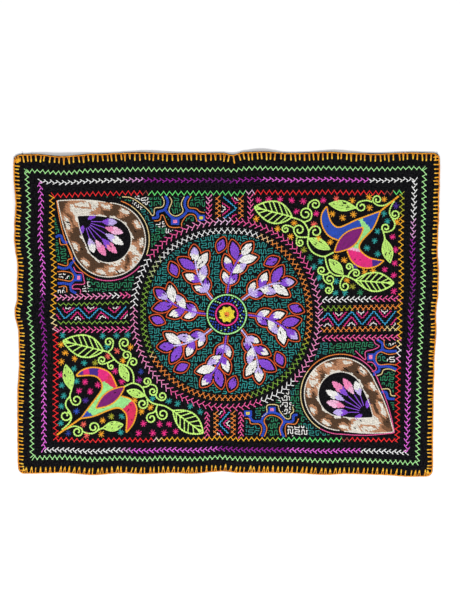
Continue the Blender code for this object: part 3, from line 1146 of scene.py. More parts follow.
def dropShape(drop, scale=1.0):
    tip, centre = np.array(drop["tip"], float), np.array(drop["centre"], float)
    offset = tip - centre
    reach, toTip = np.hypot(*offset), math.atan2(offset[1], offset[0])
    touch = math.acos(drop["radius"] / reach)
    arc = toTip + np.linspace(touch, 2 * math.pi - touch, 40)
    rim = centre + drop["radius"] * onCircle(arc)
    # the two sides swell a little on their way to the point
    share = np.linspace(0, 1, 12)[1:-1][:, None]
    swell = 2.2 * np.sin(math.pi * share)
    out = np.array([-offset[1], offset[0]]) / reach
    there = rim[-1] + (tip - rim[-1]) * share - out * swell
    back = tip + (rim[0] - tip) * share + out * swell
    shape = np.vstack([rim, there, tip[None], back])
    return centre + (shape - centre) * scale


def dropDepth(drop):
    # 0 in the middle of the drop and 1 on its outline, with the angle from its point
    centre = np.array(drop["centre"], float)
    shape = dropShape(drop) - centre
    angles = np.arctan2(shape[:, 1], shape[:, 0]) % (2 * math.pi)
    order = np.argsort(angles)
    angles, radii = angles[order], np.hypot(*shape.T)[order]
    toTip = math.atan2(drop["tip"][1] - centre[1], drop["tip"][0] - centre[0])

    def depthAt(points):
        offset = points - centre
        angle = np.arctan2(offset[:, 1], offset[:, 0]) % (2 * math.pi)
        reach = np.interp(angle, angles, radii, period=2 * math.pi)
        turn = (angle - toTip + math.pi) % (2 * math.pi) - math.pi
        return np.hypot(*offset.T) / reach, turn
    return depthAt


def sewDrop(side):
    drop = drops[side]
    patch = newPatch(side + "Drop")
    depthAt = dropDepth(drop)
    shape = dropShape(drop)
    centre, tip = np.array(drop["centre"], float), np.array(drop["tip"], float)
    scallops, core = drops["scallops"], drops["core"]

    def colourAt(points):
        depth, turn = depthAt(points)
        points = points + draws.uniform(-0.6, 0.6, points.shape)
        mottle = (np.sin(2.0 * turn + 1.1) + 0.8 * np.sin(5.0 * turn - 8.0 * depth)
                  + 0.5 * np.sin(points[:, 0] / 3.1) * np.sin(points[:, 1] / 3.7))
        found = allIn(thread["brown"], points)
        found[mottle > 0.15] = thread["chestnut"]
        found[mottle > 0.40] = thread["tan"]
        found[mottle > 1.1] = thread["bone"]
        # pale half moons with tan rims along the outer side, and pale ones along the inner side
        wave = np.abs(np.sin(turn * scallops / 2))
        found[(depth > 0.76 + 0.12 * (1 - wave)) & (depth < 0.94) & (wave > 0.62)] = thread["tan"]
        found[(depth > 0.82 + 0.10 * (1 - wave)) & (depth < 0.92) & (wave > 0.76)] = thread["bone"]
        innerEdge = core + 0.06 * np.cos(turn * scallops / 2) ** 2
        found[(depth < innerEdge) & (np.abs(turn) > 0.5)] = thread["bone"]
        return found

    def inBands(points):
        depth = depthAt(points)[0]
        return (depth < 0.985) & (depth > core)

    fillZone(patch, inBands, shape.min(0), shape.max(0), angleOf(tip, centre), colourAt)
    stemLine(patch, dropShape(drop, core + 0.01), thread["bone"], width=1.2)
    stemLine(patch, dropShape(drop, 0.985), thread["bone"], width=1.25, level=0.15)
    # a fan of petals on the black middle
    toTip = angleOf(centre, tip)
    root = centre + (tip - centre) * 0.47
    fan = [(-0.62, 33, "purple", "lilac"), (-0.36, 41, "pink", "palePink"), (-0.12, 46, "lilac", "white"),
           (0.12, 46, "purple", "pink"), (0.36, 41, "palePink", "pink"), (0.62, 33, "lilac", "white")]
    for swing, length, first, last in fan:
        angle = toTip + math.pi + swing
        way = pointing(angle)
        stalkEnd = root + way * length * 0.52
        petalTip = root + way * length
        stemLine(patch, [root + way * 7, stalkEnd], thread["purple"], width=1.0)
        petal = leafShape(stalkEnd, petalTip, 7.2, 0.8, 0.55)
        fillShape(patch, petal, angle, lambda points, a=stalkEnd, w=way, n=length: mixed(
            thread[first], thread[last], (((points - a) @ w) / (n * 0.48) > 0.45).astype(float)))
    for hand in (1, -1):
        angle = toTip + math.pi + hand * 1.15
        way = pointing(angle)
        bud = leafShape(root + way * 4, root + way * 14, 4.4, 0.8)
        fillShape(patch, bud, angle, thread["purple"])
    coverShape(shape, 4.4)


# Geometric line work round the drops: blue bands with thin outlines, and a ground of keys

topLeftLines = {
    "patch": "topLeftLines",
    "blue": [
        [(165.3, 195.7), (168.3, 201.3), (165.3, 209.4), (157.6, 212), (158.6, 217), (152.5, 218)],
        [(165.3, 209.4), (170.4, 215.6), (175, 218.6), (181.6, 217), (187.7, 210.4), (185.2, 206.4),
         (185.7, 199.2), (189.2, 196.2)],
        [(187.7, 210.4), (194.9, 211.5), (200, 216.4)],
        [(56, 237), (61.2, 235), (63.7, 242), (68.3, 242)],
        [(58, 266.6), (64.2, 268.6), (70.4, 266.6), (70.9, 263.5), (73.9, 261.5), (75, 257.4)],
        [(70.4, 266.6), (74.4, 272.7), (77, 277.5), (74.4, 280), (70.9, 284), (64, 283), (58, 283.4)],
        [(70.9, 284), (71.4, 290), (76.5, 293)],
    ],
    "blocks": [
        {"middle": (175.5, 221.2), "size": (8.2, 7.1), "centre": "pink"},
        {"middle": (79, 277.5), "size": (6.4, 6.4), "centre": "pink"},
        {"middle": (201.5, 217.5), "size": (8.0, 6.4), "centre": "yellow"},
    ],
    "thin": {
        "cream": [[(122.4, 196.7), (131.6, 197.7), (140.8, 203.3), (149, 210.4), (152.5, 215.6),
                   (154.6, 214), (155, 208), (161, 207.4), (164.2, 205), (164.4, 200), (162.2, 196.2)],
                  [(169.9, 196.7), (172.4, 201.3), (169.3, 209.4), (171.4, 214), (176.5, 216),
                   (181.6, 213.5), (183.6, 210.4), (181.6, 203.3), (184.7, 196.7)]],
        "orange": [[(191.8, 196), (188.7, 201.3), (189.2, 207.4), (196.9, 208.4), (200, 211.5),
                    (205, 212.5)],
                   [(154.6, 220.7), (160.2, 220.1), (161.7, 214.5), (164.2, 216), (169.3, 226.3),
                    (181.6, 226.8), (182, 222.7), (187.7, 215), (194.9, 215), (198, 223.2)],
                   [(60, 238), (61.2, 244.6), (67.3, 245), (72.9, 257.4), (68.3, 259.4), (67.8, 265.6),
                    (58, 263.5)],
                   [(57.6, 271.7), (65.3, 271.2), (72.9, 273.7), (73.4, 278.8), (70.4, 281),
                    (58, 278.8)],
                   [(59, 287), (66.3, 286), (67.3, 292)]],
        "rose": [[(74, 266.6), (76.5, 271.7), (82.6, 272.7), (84.2, 279), (84.7, 284), (74.4, 284.4),
                  (72.9, 288.5), (80.6, 289), (80.6, 294)]],
    },
    "rimColours": ("cream", "orange", "rose"),
    # white places in the ground, with their radius
    "pale": [(141, 200.5, 8.5), (162, 222.5, 5.5), (171, 232, 6), (63, 274.5, 6.5), (61, 291, 5.5),
             (84, 284, 6), (85, 292, 5)],
    "zone": ((52, 196), (212, 303)),
    "drop": "topLeft",
}

bottomRightLines = {
    "patch": "bottomRightLines",
    "blue": [
        [(377.4, 339.3), (383, 343.4), (382.6, 349), (388.8, 351.2), (397, 350.7)],
        [(382.3, 349.6), (375.3, 353.8), (374.3, 360), (379.5, 366.2), (388.8, 366.2), (397, 369.3)],
        [(379.5, 366.2), (379.5, 371.3), (374.8, 372.4), (374.3, 375.5)],
        [(381.5, 392), (386.7, 392), (388.2, 398.2), (395, 398.7)],
        [(248.4, 413), (253.4, 421), (261.7, 421.4), (264.8, 429.2), (262.2, 436.4)],
        [(261.7, 421.4), (264.8, 414.7), (272, 412), (280.3, 414.7), (285, 421), (281.3, 429.2),
         (284.4, 437)],
        [(285, 421.4), (293.2, 421.4), (293.7, 415.2), (298, 414.7)],
    ],
    "blocks": [
        {"middle": (371, 357), "size": (6.8, 6.8), "centre": "pink"},
        {"middle": (248.4, 412.9), "size": (7.8, 5.8), "centre": "yellow"},
        {"middle": (272.5, 409.8), "size": (7.2, 5.4), "centre": "pink"},
    ],
    "thin": {
        "cream": [[(262.2, 416.8), (267.4, 412.6), (267.4, 405), (278.2, 405), (279.3, 409.5),
                   (285.5, 417.8), (290.6, 418.3), (291, 413.7), (294.2, 411.6), (292.7, 406.4)],
                  [(396, 371.3), (389.8, 368.7), (383.6, 369.8), (382, 374), (377.4, 375.5)],
                  [(381.5, 389), (389.8, 389), (391.3, 395), (396, 395.6)]],
        "rose": [[(355.7, 350.7), (366, 360), (365.5, 351.7), (373.3, 349.6), (380, 346),
                  (375.3, 343.4), (374.3, 339.3)],
                 [(367.6, 362), (373.3, 362.5), (377, 369.3), (372.2, 371.3)]],
        "orange": [[(397, 353.2), (388.8, 354.3), (381.5, 351.7), (377.4, 353.8), (376.4, 360),
                    (379.5, 364.6), (388.8, 364), (397, 365)],
                   [(384.6, 339.3), (384.6, 345.5), (389.8, 348.6), (397, 345)],
                   [(245.2, 418.3), (250.3, 418.8), (250.8, 423.5), (259.6, 424), (262.2, 429.2),
                    (260, 435.4)],
                   [(264.8, 436.4), (267.4, 428), (264.3, 421), (268, 415.7), (276.2, 415.7),
                    (283, 421), (279.8, 428), (281.3, 435.4)],
                   [(286.5, 436.4), (285.5, 429.2), (287.5, 423.5), (295.8, 424), (299, 418.3)]],
    },
    "rimColours": ("cream", "rose", "orange"),
    "pale": [(393.5, 342, 4.5), (393, 358.5, 6), (284, 396, 7), (287.5, 408, 7), (291, 431, 6.5),
             (302, 431, 6)],
    "zone": ((241, 336), (398.5, 437.5)),
    "drop": "bottomRight",
}


def sewGeometricLines(corner):
    patch = newPatch(corner["patch"])
    drop = drops[corner["drop"]]
    depthAt = dropDepth(drop)
    (left, top), (right, bottom) = corner["zone"]

    ringEdge = ringLine(rings["outside"], 90)[:-1]

    def outside(points):
        return (insideShape(ringEdge, points) | (points[:, 0] < left) | (points[:, 0] > right)
                | (points[:, 1] < top) | (points[:, 1] > bottom) | (depthAt(points)[0] < 1.03))

    for route in corner["blue"]:
        line = curved(route, fine=6)
        aside = sideways(directions(line)) * 0.6
        for hand in (1, -1):
            stemLine(patch, line + aside * hand, thread["blue"], width=1.4, avoid=outside)
        coverLine(line, 2.5)
    for block in corner["blocks"]:
        half = np.array(block["size"]) / 2
        corners = np.array([(-1, -1), (1, -1), (1, 1), (-1, 1)]) * half + block["middle"]
        fillShape(patch, corners, 0.0, thread["blue"])
        inner = np.array([(-1, -1), (1, -1), (1, 1), (-1, 1)]) * half * 0.5 + block["middle"]
        fillShape(patch, inner, 0.0, thread[block["centre"]], tall=1.1)
        coverShape(corners, 2.2)
    for name, routes in corner["thin"].items():
        for route in routes:
            stemLine(patch, curved(route, fine=6), thread[name], width=1.05, step=1.9,
                     avoid=outside, clear=1.5)
    # a thin line follows the drop, with a black gap
    first, second, third = (thread[name] for name in corner["rimColours"])

    def rimColour(points):
        turn = depthAt(points)[1]
        found = allIn(second, points)
        found[turn > 1.5] = first
        found[turn < -1.9] = third
        return found

    def awayFromRim(points):
        return (insideShape(ringEdge, points) | (points[:, 0] < left + 3) | (points[:, 0] > right - 3)
                | (points[:, 1] < top + 5) | (points[:, 1] > bottom - 2))

    grown = dict(drop, radius=drop["radius"] + 3.2)
    shape = dropShape(grown)
    stemLine(patch, closedUp(shape), rimColour, width=1.1, step=1.9,
             avoid=awayFromRim)
    coverShape(shape, 1.9)

    def groundColour(points):
        found = allIn(thread["darkGreen"], points)
        patchwork = np.sin(points[:, 0] / 11.0 + 1.0) * np.sin(points[:, 1] / 13.0 + 0.4)
        found[patchwork < -0.35] = thread["deepTeal"]
        for x, y, radius in corner["pale"]:
            found[np.hypot(points[:, 0] - x, points[:, 1] - y) < radius] = thread["white"]
        return found

    mazeFill(patch, lambda points: ~outside(points), corner["zone"][0], corner["zone"][1], groundColour)


# The rosette in the middle

rosette = {
    "centre": (227.2, 314.2), "count": 8, "gap": 2.0, "outlineWidth": 1.12,
    "swirl": 0.42, "reach": 80.0,
    "heartPetal": {"from": 2.0, "to": 8.6, "width": 4.6},
    "pinkRing": 11.0, "seedsFrom": 13.4, "mintRing": 19.6,
    "stem": {"from": 21.0, "to": 62.0},
    "endLeaf": {"from": 61.0, "length": 15.5, "width": 8.6},
    "betweenLeaf": {"from": 63.5, "length": 13.0, "width": 7.4},
    # place along the stem, swing from it, length and width
    "sideLeaves": [(29.0, 0.50, 13.5, 6.4), (41.0, 0.66, 17.0, 8.0), (54.0, 0.80, 19.0, 8.8)],
}


def sewRosette():
    patch = newPatch("middleRosette")
    centre = np.array(rosette["centre"], float)
    gap = rosette["gap"]
    outlines, shapes = [], []

    def ray(angle, reach):
        # the arms bend on their way out
        angle = angle + rosette["swirl"] * (reach / rosette["reach"]) ** 2
        return centre + reach * pointing(angle)

    def headingAt(angle, reach):
        ahead = ray(angle, reach + 1.0) - ray(angle, reach)
        return math.atan2(ahead[1], ahead[0])

    def addLeaf(base, heading, length, width, first, last):
        base = np.asarray(base, float)
        way = pointing(heading)
        tip = base + way * length
        where = draws.uniform(0.4, 0.6)
        leaf = leafShape(base, tip, width, 0.9)

        def dyeAt(points):
            share = (points - base) @ way / length + draws.uniform(-0.07, 0.07, len(points))
            return mixed(thread[first], thread[last], (share > where).astype(float))

        fillShape(patch, leaf, heading, dyeAt, gaps=0.025)
        shapes.append(leafShape(base - way * 0.8, tip + way * 1.4, width + 2.4, 0.85))
        outlines.append(leafShape(base - way * gap, tip + way * gap * 1.5, width + 2 * gap, 0.8))

    step = 2 * math.pi / rosette["count"]
    heart = rosette["heartPetal"]
    dyes = [("purple", "lilac"), ("white", "lilac"), ("purple", "purple"), ("lilac", "white"),
            ("white", "white"), ("lilac", "purple"), ("purple", "white")]
    leafCount = 0
    for turn in range(rosette["count"]):
        petalAngle = (turn + 0.5) * step
        petal = leafShape(centre + heart["from"] * pointing(petalAngle),
                          centre + heart["to"] * pointing(petalAngle),
                          heart["width"], 0.8)
        fillShape(patch, petal, petalAngle, thread["yellow"])
        angle = turn * step
        stem = rosette["stem"]
        line = np.array([ray(angle, reach) for reach in np.linspace(stem["from"], stem["to"], 12)])
        stemLine(patch, line, thread["lilac" if turn % 2 else "purple"], width=1.9)
        aside = sideways(directions(line)) * gap
        for hand in (1, -1):
            outlines.append(line + aside * hand)
        shapes.append(np.vstack([line + aside * 0.6, (line - aside * 0.6)[::-1]]))
        end = rosette["endLeaf"]
        addLeaf(ray(angle, end["from"]), headingAt(angle, end["from"]), end["length"], end["width"],
                *dyes[(turn * 3) % len(dyes)])
        for reach, swing, length, width in rosette["sideLeaves"]:
            for hand in (1, -1):
                heading = headingAt(angle, reach)
                root = ray(angle, reach) + 1.2 * pointing(heading + hand * swing)
                leafCount += 1
                addLeaf(root, heading + hand * swing, length, width, *dyes[(leafCount * 5) % len(dyes)])
        between, leaf = angle + step / 2, rosette["betweenLeaf"]
        leafCount += 1
        addLeaf(ray(between, leaf["from"]), headingAt(between, leaf["from"]), leaf["length"],
                leaf["width"], *dyes[(leafCount * 5 + 2) % len(dyes)])
    fillShape(patch, circleLine(centre, 2.6, 16)[:-1], 0.0, thread["orange"])
    stemLine(patch, circleLine(centre, rosette["pinkRing"]), thread["magenta"], width=1.9)
    stemLine(patch, circleLine(centre, rosette["mintRing"]), thread["mint"], width=1.7)
    for row in range(3):
        reach = rosette["seedsFrom"] + row * 1.9
        count = int(2 * math.pi * reach / 3.6)
        at = np.arange(count) * 2 * math.pi / count + row * 0.4
        start = centre + reach * onCircle(at)
        later = at + 2.0 / reach
        end = centre + reach * onCircle(later)
        colours = np.where((np.arange(count) % 5 == 0)[:, None], thread["mint"], thread["blue"])
        sew(patch, start, end, 1.35, colours)

    fieldEdge = ringLine(rings["field"], 90)[:-1]

    def inShapes(points):
        hit = np.hypot(*(points - centre).T) < 22.0
        hit |= ~insideShape(fieldEdge, points)
        for shape in shapes:
            hit |= insideShape(shape, points)
        return hit

    for outline in outlines:
        closed = len(outline) > 12
        route = closedUp(outline) if closed else outline
        stemLine(patch, route, thread["outline"], width=rosette["outlineWidth"], step=1.7,
                 avoid=inShapes)
        coverLine(route, 1.2)
    for shape in shapes:
        coverShape(shape, 1.0)
    coverShape(circleLine(centre, 22.0, 40)[:-1], 0.0)


def sewMiddleGround():
    patch = newPatch("middleGround")
    field = ringLine(rings["field"], 90)[:-1]

    def inField(points):
        return insideShape(field, points)

    def tealAt(points):
        share = 0.5 + 0.5 * np.sin(points[:, 0] / 17.0) * np.sin(points[:, 1] / 19.0)
        return mixed(thread["deepTeal"], thread["teal"], share)

    mazeFill(patch, inField, field.min(0), field.max(0), tealAt)


# Blanket stitch round the rim

blanket = {
    "sides": [
        {"pitch": 4.7, "reach": (6.3, 8.2), "width": 1.55, "forked": 0.25, "fork": 1.5, "slope": 0.3,
         "ropeIn": 1.0, "rope": 1.15},
        {"pitch": 4.05, "reach": (5.0, 6.0), "width": 1.4, "forked": 0.2, "fork": 1.9, "slope": 0.2,
         "ropeIn": 0.5, "rope": 1.3},
        {"pitch": 4.75, "reach": (5.9, 7.2), "width": 1.15, "forked": 0.75, "fork": 2.3, "slope": -0.7,
         "ropeIn": 0.5, "rope": 1.2},
        {"pitch": 3.75, "reach": (4.9, 6.2), "width": 1.3, "forked": 0.12, "fork": 1.6, "slope": -0.9,
         "ropeIn": 0.5, "rope": 1.35},
    ],
    "legWidth": 0.95, "ropeLevel": -0.45, "underLevel": -1.15,
    # loose ends at the top left corner, each from one point to the other
    "knot": [((16.3, 158.6), (19.0, 162.8)), ((18.4, 158.0), (16.8, 163.4)),
             ((15.2, 160.2), (19.8, 160.6)), ((20.4, 157.0), (20.8, 161.8))],
    "tufts": [((13.9, 157.6), (15.6, 158.9)), ((16.1, 155.6), (17.5, 157.0)),
              ((22.2, 153.0), (23.6, 154.8)), ((31.8, 153.8), (33.4, 154.6)),
              ((436.5, 153.2), (438.3, 155.0))],
}


def rimLine():
    steps = np.linspace(-1, 1, 401)[:-1]
    ones = np.ones_like(steps)
    u = np.concatenate([steps, ones, -steps, -ones])
    v = np.concatenate([ones, -steps, -ones, steps])
    x, y = placeOnTable(u, v)
    left, top = cloth["chartMiddle"]
    return np.column_stack([x + left, top - y])


def sewBlanket():
    patch = newPatch("blanketStitch")
    rim = rimLine()
    quarter = len(rim) // 4
    rim = closedUp(rim)
    feet, ropes = [], []
    for side, kind in enumerate(blanket["sides"]):
        line = rim[side * quarter:(side + 1) * quarter + 1]
        along = distances(line)
        count = round(along[-1] / kind["pitch"])
        at = (np.arange(count) + 0.5 + draws.uniform(-0.16, 0.16, count)) * along[-1] / count
        foot = np.column_stack([np.interp(at, along, line[:, 0]), np.interp(at, along, line[:, 1])])
        way = directions(foot)
        inward = np.column_stack([-way[:, 1], way[:, 0]])
        depth = draws.uniform(*kind["reach"], count)
        lean = kind["slope"] + draws.uniform(-0.6, 0.6, count)
        edge = foot + inward * (kind["ropeIn"] + draws.uniform(-0.25, 0.25, count))[:, None]
        head = edge + inward * depth[:, None] + way * lean[:, None]
        forked = draws.uniform(0, 1, count) < kind["forked"]
        spread = np.where(forked, kind["fork"] * draws.uniform(0.6, 1.3, count), 0.0) / 2
        share = draws.uniform(0.35, 0.6, count)[:, None]
        # painted highlight and painted shade: the head half of each leg takes pale tones of the thread and is
        # made brighter, while the half towards the rim and the part under the cloth take darker tones of the
        # same thread
        litHighlightTone = mixed(thread["mustard"], thread["rimHighlight"], draws.uniform(0, 0.8, count)) * 1.18
        shadedTone = mixed(thread["rimBrown"], thread["mustard"], draws.uniform(0.4, 1, count))
        for hand in (1, -1):
            legs = forked if hand < 0 else np.ones(count, bool)
            over = draws.uniform(-0.2, 0.65, count)[:, None]
            leg = edge - inward * over + way * (hand * spread)[:, None]
            knee = head + (leg - head) * share
            width = np.where(forked, blanket["legWidth"], kind["width"])
            toKnee = unit(leg - head) * 0.5
            sew(patch, head[legs], (knee + toKnee)[legs], width[legs], litHighlightTone[legs], tall=0.95,
                sinkEnd=-0.1)
            sew(patch, (knee - toKnee)[legs], leg[legs], width[legs] * 0.96, shadedTone[legs], tall=0.95,
                sinkStart=-0.1, sinkEnd=0.5)
            sew(patch, head[legs], leg[legs], width[legs], shadedTone[legs], tall=0.5,
                level=blanket["underLevel"], sinkStart=0.1, sinkEnd=-0.1)
        feet.append(edge)
        ropes.append(np.full(count, kind["rope"]))
    # the thread that runs along the rim
    edge, rope = np.vstack(feet), np.concatenate(ropes)
    following = np.roll(edge, -1, 0)
    middle = (edge + following) / 2 + draws.uniform(-0.2, 0.2, edge.shape)
    for start, end in ((edge, middle), (middle, following)):
        way = unit(end - start) * 0.45
        sew(patch, start - way, end + way, rope,
            mixed(thread["rimBrown"], thread["mustard"], draws.uniform(0.1, 0.9, len(edge))), tall=1.25,
            level=blanket["ropeLevel"], sinkStart=0.1, sinkEnd=0.1)
    for name, kind, width in (("mustard", "knot", 1.5), ("black", "tufts", 1.2)):
        ends = np.array(blanket[kind])
        sew(patch, ends[:, 0], ends[:, 1], width, thread[name], tall=1.0, level=0.2)


# From patches to meshes

def stitchTemplate():
    # one thread: a six-sided spindle with blunt shoulders
    bpy.ops.object.select_all(action="DESELECT")
    bpy.ops.mesh.primitive_uv_sphere_add(segments=6, ring_count=4, radius=0.5)
    spindle = bpy.context.object
    bpy.ops.object.mode_set(mode="EDIT")
    bpy.ops.mesh.select_all(action="SELECT")
    bpy.ops.transform.rotate(value=math.pi / 2, orient_axis="Y", center_override=(0, 0, 0))
    bpy.ops.object.mode_set(mode="OBJECT")
    mesh = spindle.data
    points = np.array([vertex.co[:] for vertex in mesh.vertices])
    shoulders = (np.abs(points[:, 0]) > 0.2) & (np.abs(points[:, 0]) < 0.45)
    across = np.hypot(points[:, 1], points[:, 2])
    points[shoulders, 0] = np.sign(points[shoulders, 0]) * 0.38
    points[shoulders, 1:] *= (0.44 / across[shoulders])[:, None]
    faces = [np.array(face.vertices[:]) for face in mesh.polygons]
    # the faces that look up come last, in the same order on every run
    looks = np.round([(*face.center[:2], face.normal.z) for face in mesh.polygons], 3)
    order = np.lexsort(looks.T)
    faces = [faces[index] for index in order]
    bpy.data.objects.remove(spindle)
    return points, faces


def sewTogether(name, rows, template):
    points, faces = template
    rows = np.vstack(rows)
    count = len(rows)
    start, end = fromChart(rows[:, 0:2]), fromChart(rows[:, 2:4])
    width, tall, level, sinkStart, sinkEnd = (rows[:, column] for column in range(4, 9))
    colour = rows[:, 9:12] * draws.uniform(0.85, 1.13, (count, 1))
    start = start + draws.uniform(-0.09, 0.09, start.shape)
    end = end + draws.uniform(-0.09, 0.09, end.shape)
    width = width * draws.uniform(0.94, 1.06, count)
    span = end - start
    length = np.maximum(np.hypot(*span.T), 0.2)
    way = span / length[:, None]
    side = np.column_stack([-way[:, 1], way[:, 0]])
    middle = (start + end) / 2
    along, across, up = points[:, 0], points[:, 1], points[:, 2]
    # the shoulders stay half a thread's width from the ends, however long the stitch is
    blunt = np.clip(0.45 * width / length, 0.05, 0.2)[:, None]
    atShoulder = (np.abs(along) > 0.2) & (np.abs(along) < 0.45)
    along = np.where(atShoulder, np.sign(along) * (0.5 - blunt), along)
    flat = (middle[:, None, :] + way[:, None, :] * (length[:, None] * along)[..., None]
            + side[:, None, :] * (width[:, None] * across)[..., None])
    nearEnd = np.abs(2 * along) ** 3
    sink = np.where(along < 0, sinkStart[:, None], sinkEnd[:, None])
    above = (level[:, None] + (1 - nearEnd) * tall[:, None] * 0.42 - nearEnd * sink
             + tall[:, None] * up)
    placed = liftToMetres(flat[..., 0].ravel(), flat[..., 1].ravel(), above.ravel())
    mesh = bpy.data.meshes.new(name)
    mesh.vertices.add(len(placed))
    mesh.vertices.foreach_set("co", placed.astype(np.float32).ravel())
    offsets = (np.arange(count) * len(points))[:, None]
    corners = [(face[None, :] + offsets) for face in faces]
    cornerList = np.concatenate([block.ravel() for block in corners])
    sizes = np.concatenate([np.full(count, len(face)) for face in faces])
    starts = np.concatenate([[0], np.cumsum(sizes)[:-1]])
    mesh.loops.add(len(cornerList))
    mesh.loops.foreach_set("vertex_index", cornerList.astype(np.int32))
    mesh.polygons.add(len(sizes))
    mesh.polygons.foreach_set("loop_start", starts.astype(np.int32))
    mesh.update(calc_edges=True)
    mesh.shade_smooth()
    # planar map for the finish, and a map along and round each thread for its twist
    xy = placed[cornerList, :2]
    low, high = xy.min(0), xy.max(0)
    flatMap = mesh.uv_layers.new(name="OFBake")
    flatMap.data.foreach_set("uv", ((xy - low) / (high - low)).astype(np.float32).ravel())
    alongAll = (length[:, None] * along).ravel()[cornerList]
    roundAll = np.tile(np.arctan2(up, across) / (2 * math.pi), count)[cornerList]
    threadMap = mesh.uv_layers.new(name="threadMap")
    threadMap.data.foreach_set("uv", np.column_stack([alongAll, roundAll]).astype(np.float32).ravel())
    dye = mesh.color_attributes.new("threadColour", "FLOAT_COLOR", "POINT")
    shade = np.repeat(np.column_stack([np.clip(colour, 0, 1), np.ones(count)]), len(points), 0)
    dye.data.foreach_set("color", shade.astype(np.float32).ravel())
    piece = bpy.data.objects.new(name, mesh)
    bpy.context.scene.collection.objects.link(piece)
    return piece


# Finishes

def setSockets(node, values):
    for name, value in values.items():
        node.inputs[name].default_value = value

def newFinish(name, surface):
    finish = bpy.data.materials.new(name)
    finish.use_nodes = True
    setSockets(finish.node_tree.nodes["Principled BSDF"], surface)
    return finish, finish.node_tree.nodes, finish.node_tree.links

cottonThread = {
    "surface": {"Roughness": 0.62, "Specular IOR Level": 0.25, "Sheen Weight": 0.12},
    "turns": {"Scale": (1.1, 3.0, 1.0)},
    "twist": {"Scale": 0.9, "Distortion": 0.6},
    # how much the twist's grooves are darkened in the thread colour, painted shade
    "grooveShade": {"Factor": 0.22},
    "bump": {"Strength": 0.35, "Distance": 0.0002},
}

def cottonThreadFinish():
    finish, nodes, links = newFinish("cottonThread", cottonThread["surface"])
    surface = nodes["Principled BSDF"]
    dye = nodes.new("ShaderNodeAttribute")
    dye.attribute_name = "threadColour"
    threadMap = nodes.new("ShaderNodeUVMap")
    threadMap.uv_map = "threadMap"
    turn = nodes.new("ShaderNodeMapping")
    setSockets(turn, cottonThread["turns"])
    links.new(threadMap.outputs["UV"], turn.inputs["Vector"])
    twist = nodes.new("ShaderNodeTexWave")
    twist.wave_type = "BANDS"
    twist.bands_direction = "DIAGONAL"
    setSockets(twist, cottonThread["twist"])
    links.new(turn.outputs["Vector"], twist.inputs["Vector"])
    # painted shade: the thread colour is made darker in the twist's grooves, where the bump is low
    grooveShade = nodes.new("ShaderNodeMix")
    grooveShade.data_type = "RGBA"
    grooveShade.blend_type = "MULTIPLY"
    setSockets(grooveShade, cottonThread["grooveShade"])
    links.new(dye.outputs["Color"], grooveShade.inputs["A"])
    links.new(twist.outputs["Color"], grooveShade.inputs["B"])
    links.new(grooveShade.outputs["Result"], surface.inputs["Base Color"])
    bump = nodes.new("ShaderNodeBump")
    setSockets(bump, cottonThread["bump"])
    links.new(twist.outputs["Fac"], bump.inputs["Height"])
    links.new(bump.outputs["Normal"], surface.inputs["Normal"])
    return finish

blackCotton = {
    "surface": {"Roughness": 0.95, "Specular IOR Level": 0.04, "Sheen Weight": 0.0},
    "weave": {"Scale": 0.314 / 0.00055, "Distortion": 1.2},  # a thread every 0.55 mm
    "speck": {"Scale": 700.0, "Detail": 3.0},
    "spread": {"From Min": 0.40, "From Max": 0.75},
    "tone": {"A": (0.0014, 0.0013, 0.0020, 1), "B": (0.0150, 0.0140, 0.0165, 1)},  # black, and worn
    "bump": {"Strength": 0.6, "Distance": 0.0002},
}

def blackCottonFinish():
    finish, nodes, links = newFinish("blackCotton", blackCotton["surface"])
    surface = nodes["Principled BSDF"]
    place = nodes.new("ShaderNodeTexCoord")
    waves = []
    for direction in ("X", "Y"):
        wave = nodes.new("ShaderNodeTexWave")
        wave.bands_direction = direction
        setSockets(wave, blackCotton["weave"])
        links.new(place.outputs["Object"], wave.inputs["Vector"])
        waves.append(wave)
    cross = nodes.new("ShaderNodeMath")
    cross.operation = "MAXIMUM"
    links.new(waves[0].outputs["Fac"], cross.inputs[0])
    links.new(waves[1].outputs["Fac"], cross.inputs[1])
    speck = nodes.new("ShaderNodeTexNoise")
    setSockets(speck, blackCotton["speck"])
    links.new(place.outputs["Object"], speck.inputs["Vector"])
    spread = nodes.new("ShaderNodeMapRange")
    setSockets(spread, blackCotton["spread"])
    links.new(speck.outputs["Fac"], spread.inputs["Value"])
    tone = nodes.new("ShaderNodeMix")
    tone.data_type = "RGBA"
    setSockets(tone, blackCotton["tone"])
    links.new(spread.outputs["Result"], tone.inputs["Factor"])
    links.new(tone.outputs["Result"], surface.inputs["Base Color"])
    bump = nodes.new("ShaderNodeBump")
    setSockets(bump, blackCotton["bump"])
    links.new(cross.outputs["Value"], bump.inputs["Height"])
    links.new(bump.outputs["Normal"], surface.inputs["Normal"])
    return finish

# The cloth itself

def makeCloth():
    bpy.ops.object.select_all(action="DESELECT")
    columns, rows = cloth["columns"], cloth["rows"]
    bpy.ops.mesh.primitive_grid_add(x_subdivisions=columns, y_subdivisions=rows, size=2.0)
    sheet = bpy.context.object
    sheet.name = "clothSheet"
    mesh = sheet.data
    flat = np.zeros(len(mesh.vertices) * 3, np.float32)
    mesh.vertices.foreach_get("co", flat)
    u, v = flat.reshape(-1, 3)[:, 0], flat.reshape(-1, 3)[:, 1]
    x, y = placeOnTable(u, v)
    z = cloth["underside"] + liftOffTable(u, v) + puckers(u, v)
    placed = np.column_stack([x + shiftX, y + shiftY, z]) / 1000.0
    mesh.vertices.foreach_set("co", placed.astype(np.float32).ravel())
    mesh.update()
    body = sheet.modifiers.new("thickness", "SOLIDIFY")
    body.thickness = cloth["thickness"] / 1000.0
    body.offset = 1.0
    bpy.ops.object.modifier_apply(modifier="thickness")
    mesh.shade_smooth()
    return sheet


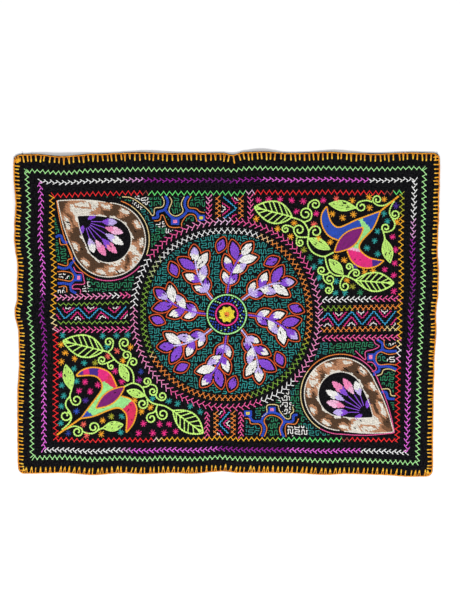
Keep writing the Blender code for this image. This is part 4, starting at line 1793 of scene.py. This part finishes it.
def makeStage():
    bpy.ops.mesh.primitive_plane_add(size=6.0, location=(0, 0, 0))
    floor = bpy.context.object
    floor.name = "floor"
    finish = newFinish("palePaper", {"Base Color": (0.93, 0.93, 0.94, 1), "Roughness": 0.9})[0]
    floor.data.materials.append(finish)


light = {"sky": 0.72, "key": 24.0, "keySize": 0.3, "keyPlace": (0.05, -1.2, 1.45)}


def makeLight():
    world = bpy.data.worlds.new("softRoom")
    bpy.context.scene.world = world
    world.use_nodes = True
    ground = world.node_tree.nodes["Background"]
    ground.inputs["Color"].default_value = (1, 1, 1, 1)
    ground.inputs["Strength"].default_value = light["sky"]
    lamp = bpy.data.lights.new("keyLight", "AREA")
    lamp.energy = light["key"]
    lamp.size = light["keySize"]
    holder = bpy.data.objects.new("keyLight", lamp)
    holder.location = light["keyPlace"]
    holder.rotation_euler = (-Vector(light["keyPlace"])).to_track_quat("-Z", "Y").to_euler()
    bpy.context.scene.collection.objects.link(holder)


camera = {"height": 1.6, "pictureHeight": 0.613, "middle": (0.00325, 0.0076), "sensor": 36.0}


def makeCamera():
    eye = bpy.data.cameras.new("camera")
    eye.sensor_width = camera["sensor"]
    eye.lens = camera["sensor"] * (camera["height"] - 0.0015) / camera["pictureHeight"]
    holder = bpy.data.objects.new("camera", eye)
    holder.location = (*camera["middle"], camera["height"])
    bpy.context.scene.collection.objects.link(holder)
    bpy.context.scene.camera = holder
    bpy.context.scene.view_settings.view_transform = "Standard"


# Putting it together

def main():
    makeCamera()
    makeLight()
    makeStage()
    sheet = makeCloth()
    sheet.data.materials.append(blackCottonFinish())
    print("cloth laid")
    sewBlanket()
    sewMintBorder()
    sewFeatherBorder()
    sewInnerBorder()
    sewRings()
    for name in panels:
        sewPanel(name)
    print("borders and panels sewn")
    sewFlowerCorner(topRightCorner)
    sewFlowerCorner(bottomLeftCorner)
    print("flower corners sewn")
    for side in ("topLeft", "bottomRight"):
        sewDrop(side)
    sewGeometricLines(topLeftLines)
    sewGeometricLines(bottomRightLines)
    print("drop corners sewn")
    sewRosette()
    sewMiddleGround()
    print("middle sewn")
    cotton = cottonThreadFinish()
    template = stitchTemplate()
    for name, rows in patches.items():
        piece = sewTogether(name, rows, template)
        piece.data.materials.append(cotton)
        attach(piece, "root")
        print(name, sum(len(block) for block in rows), "stitches")
    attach(sheet, "root")
    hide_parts("cloth")


main()
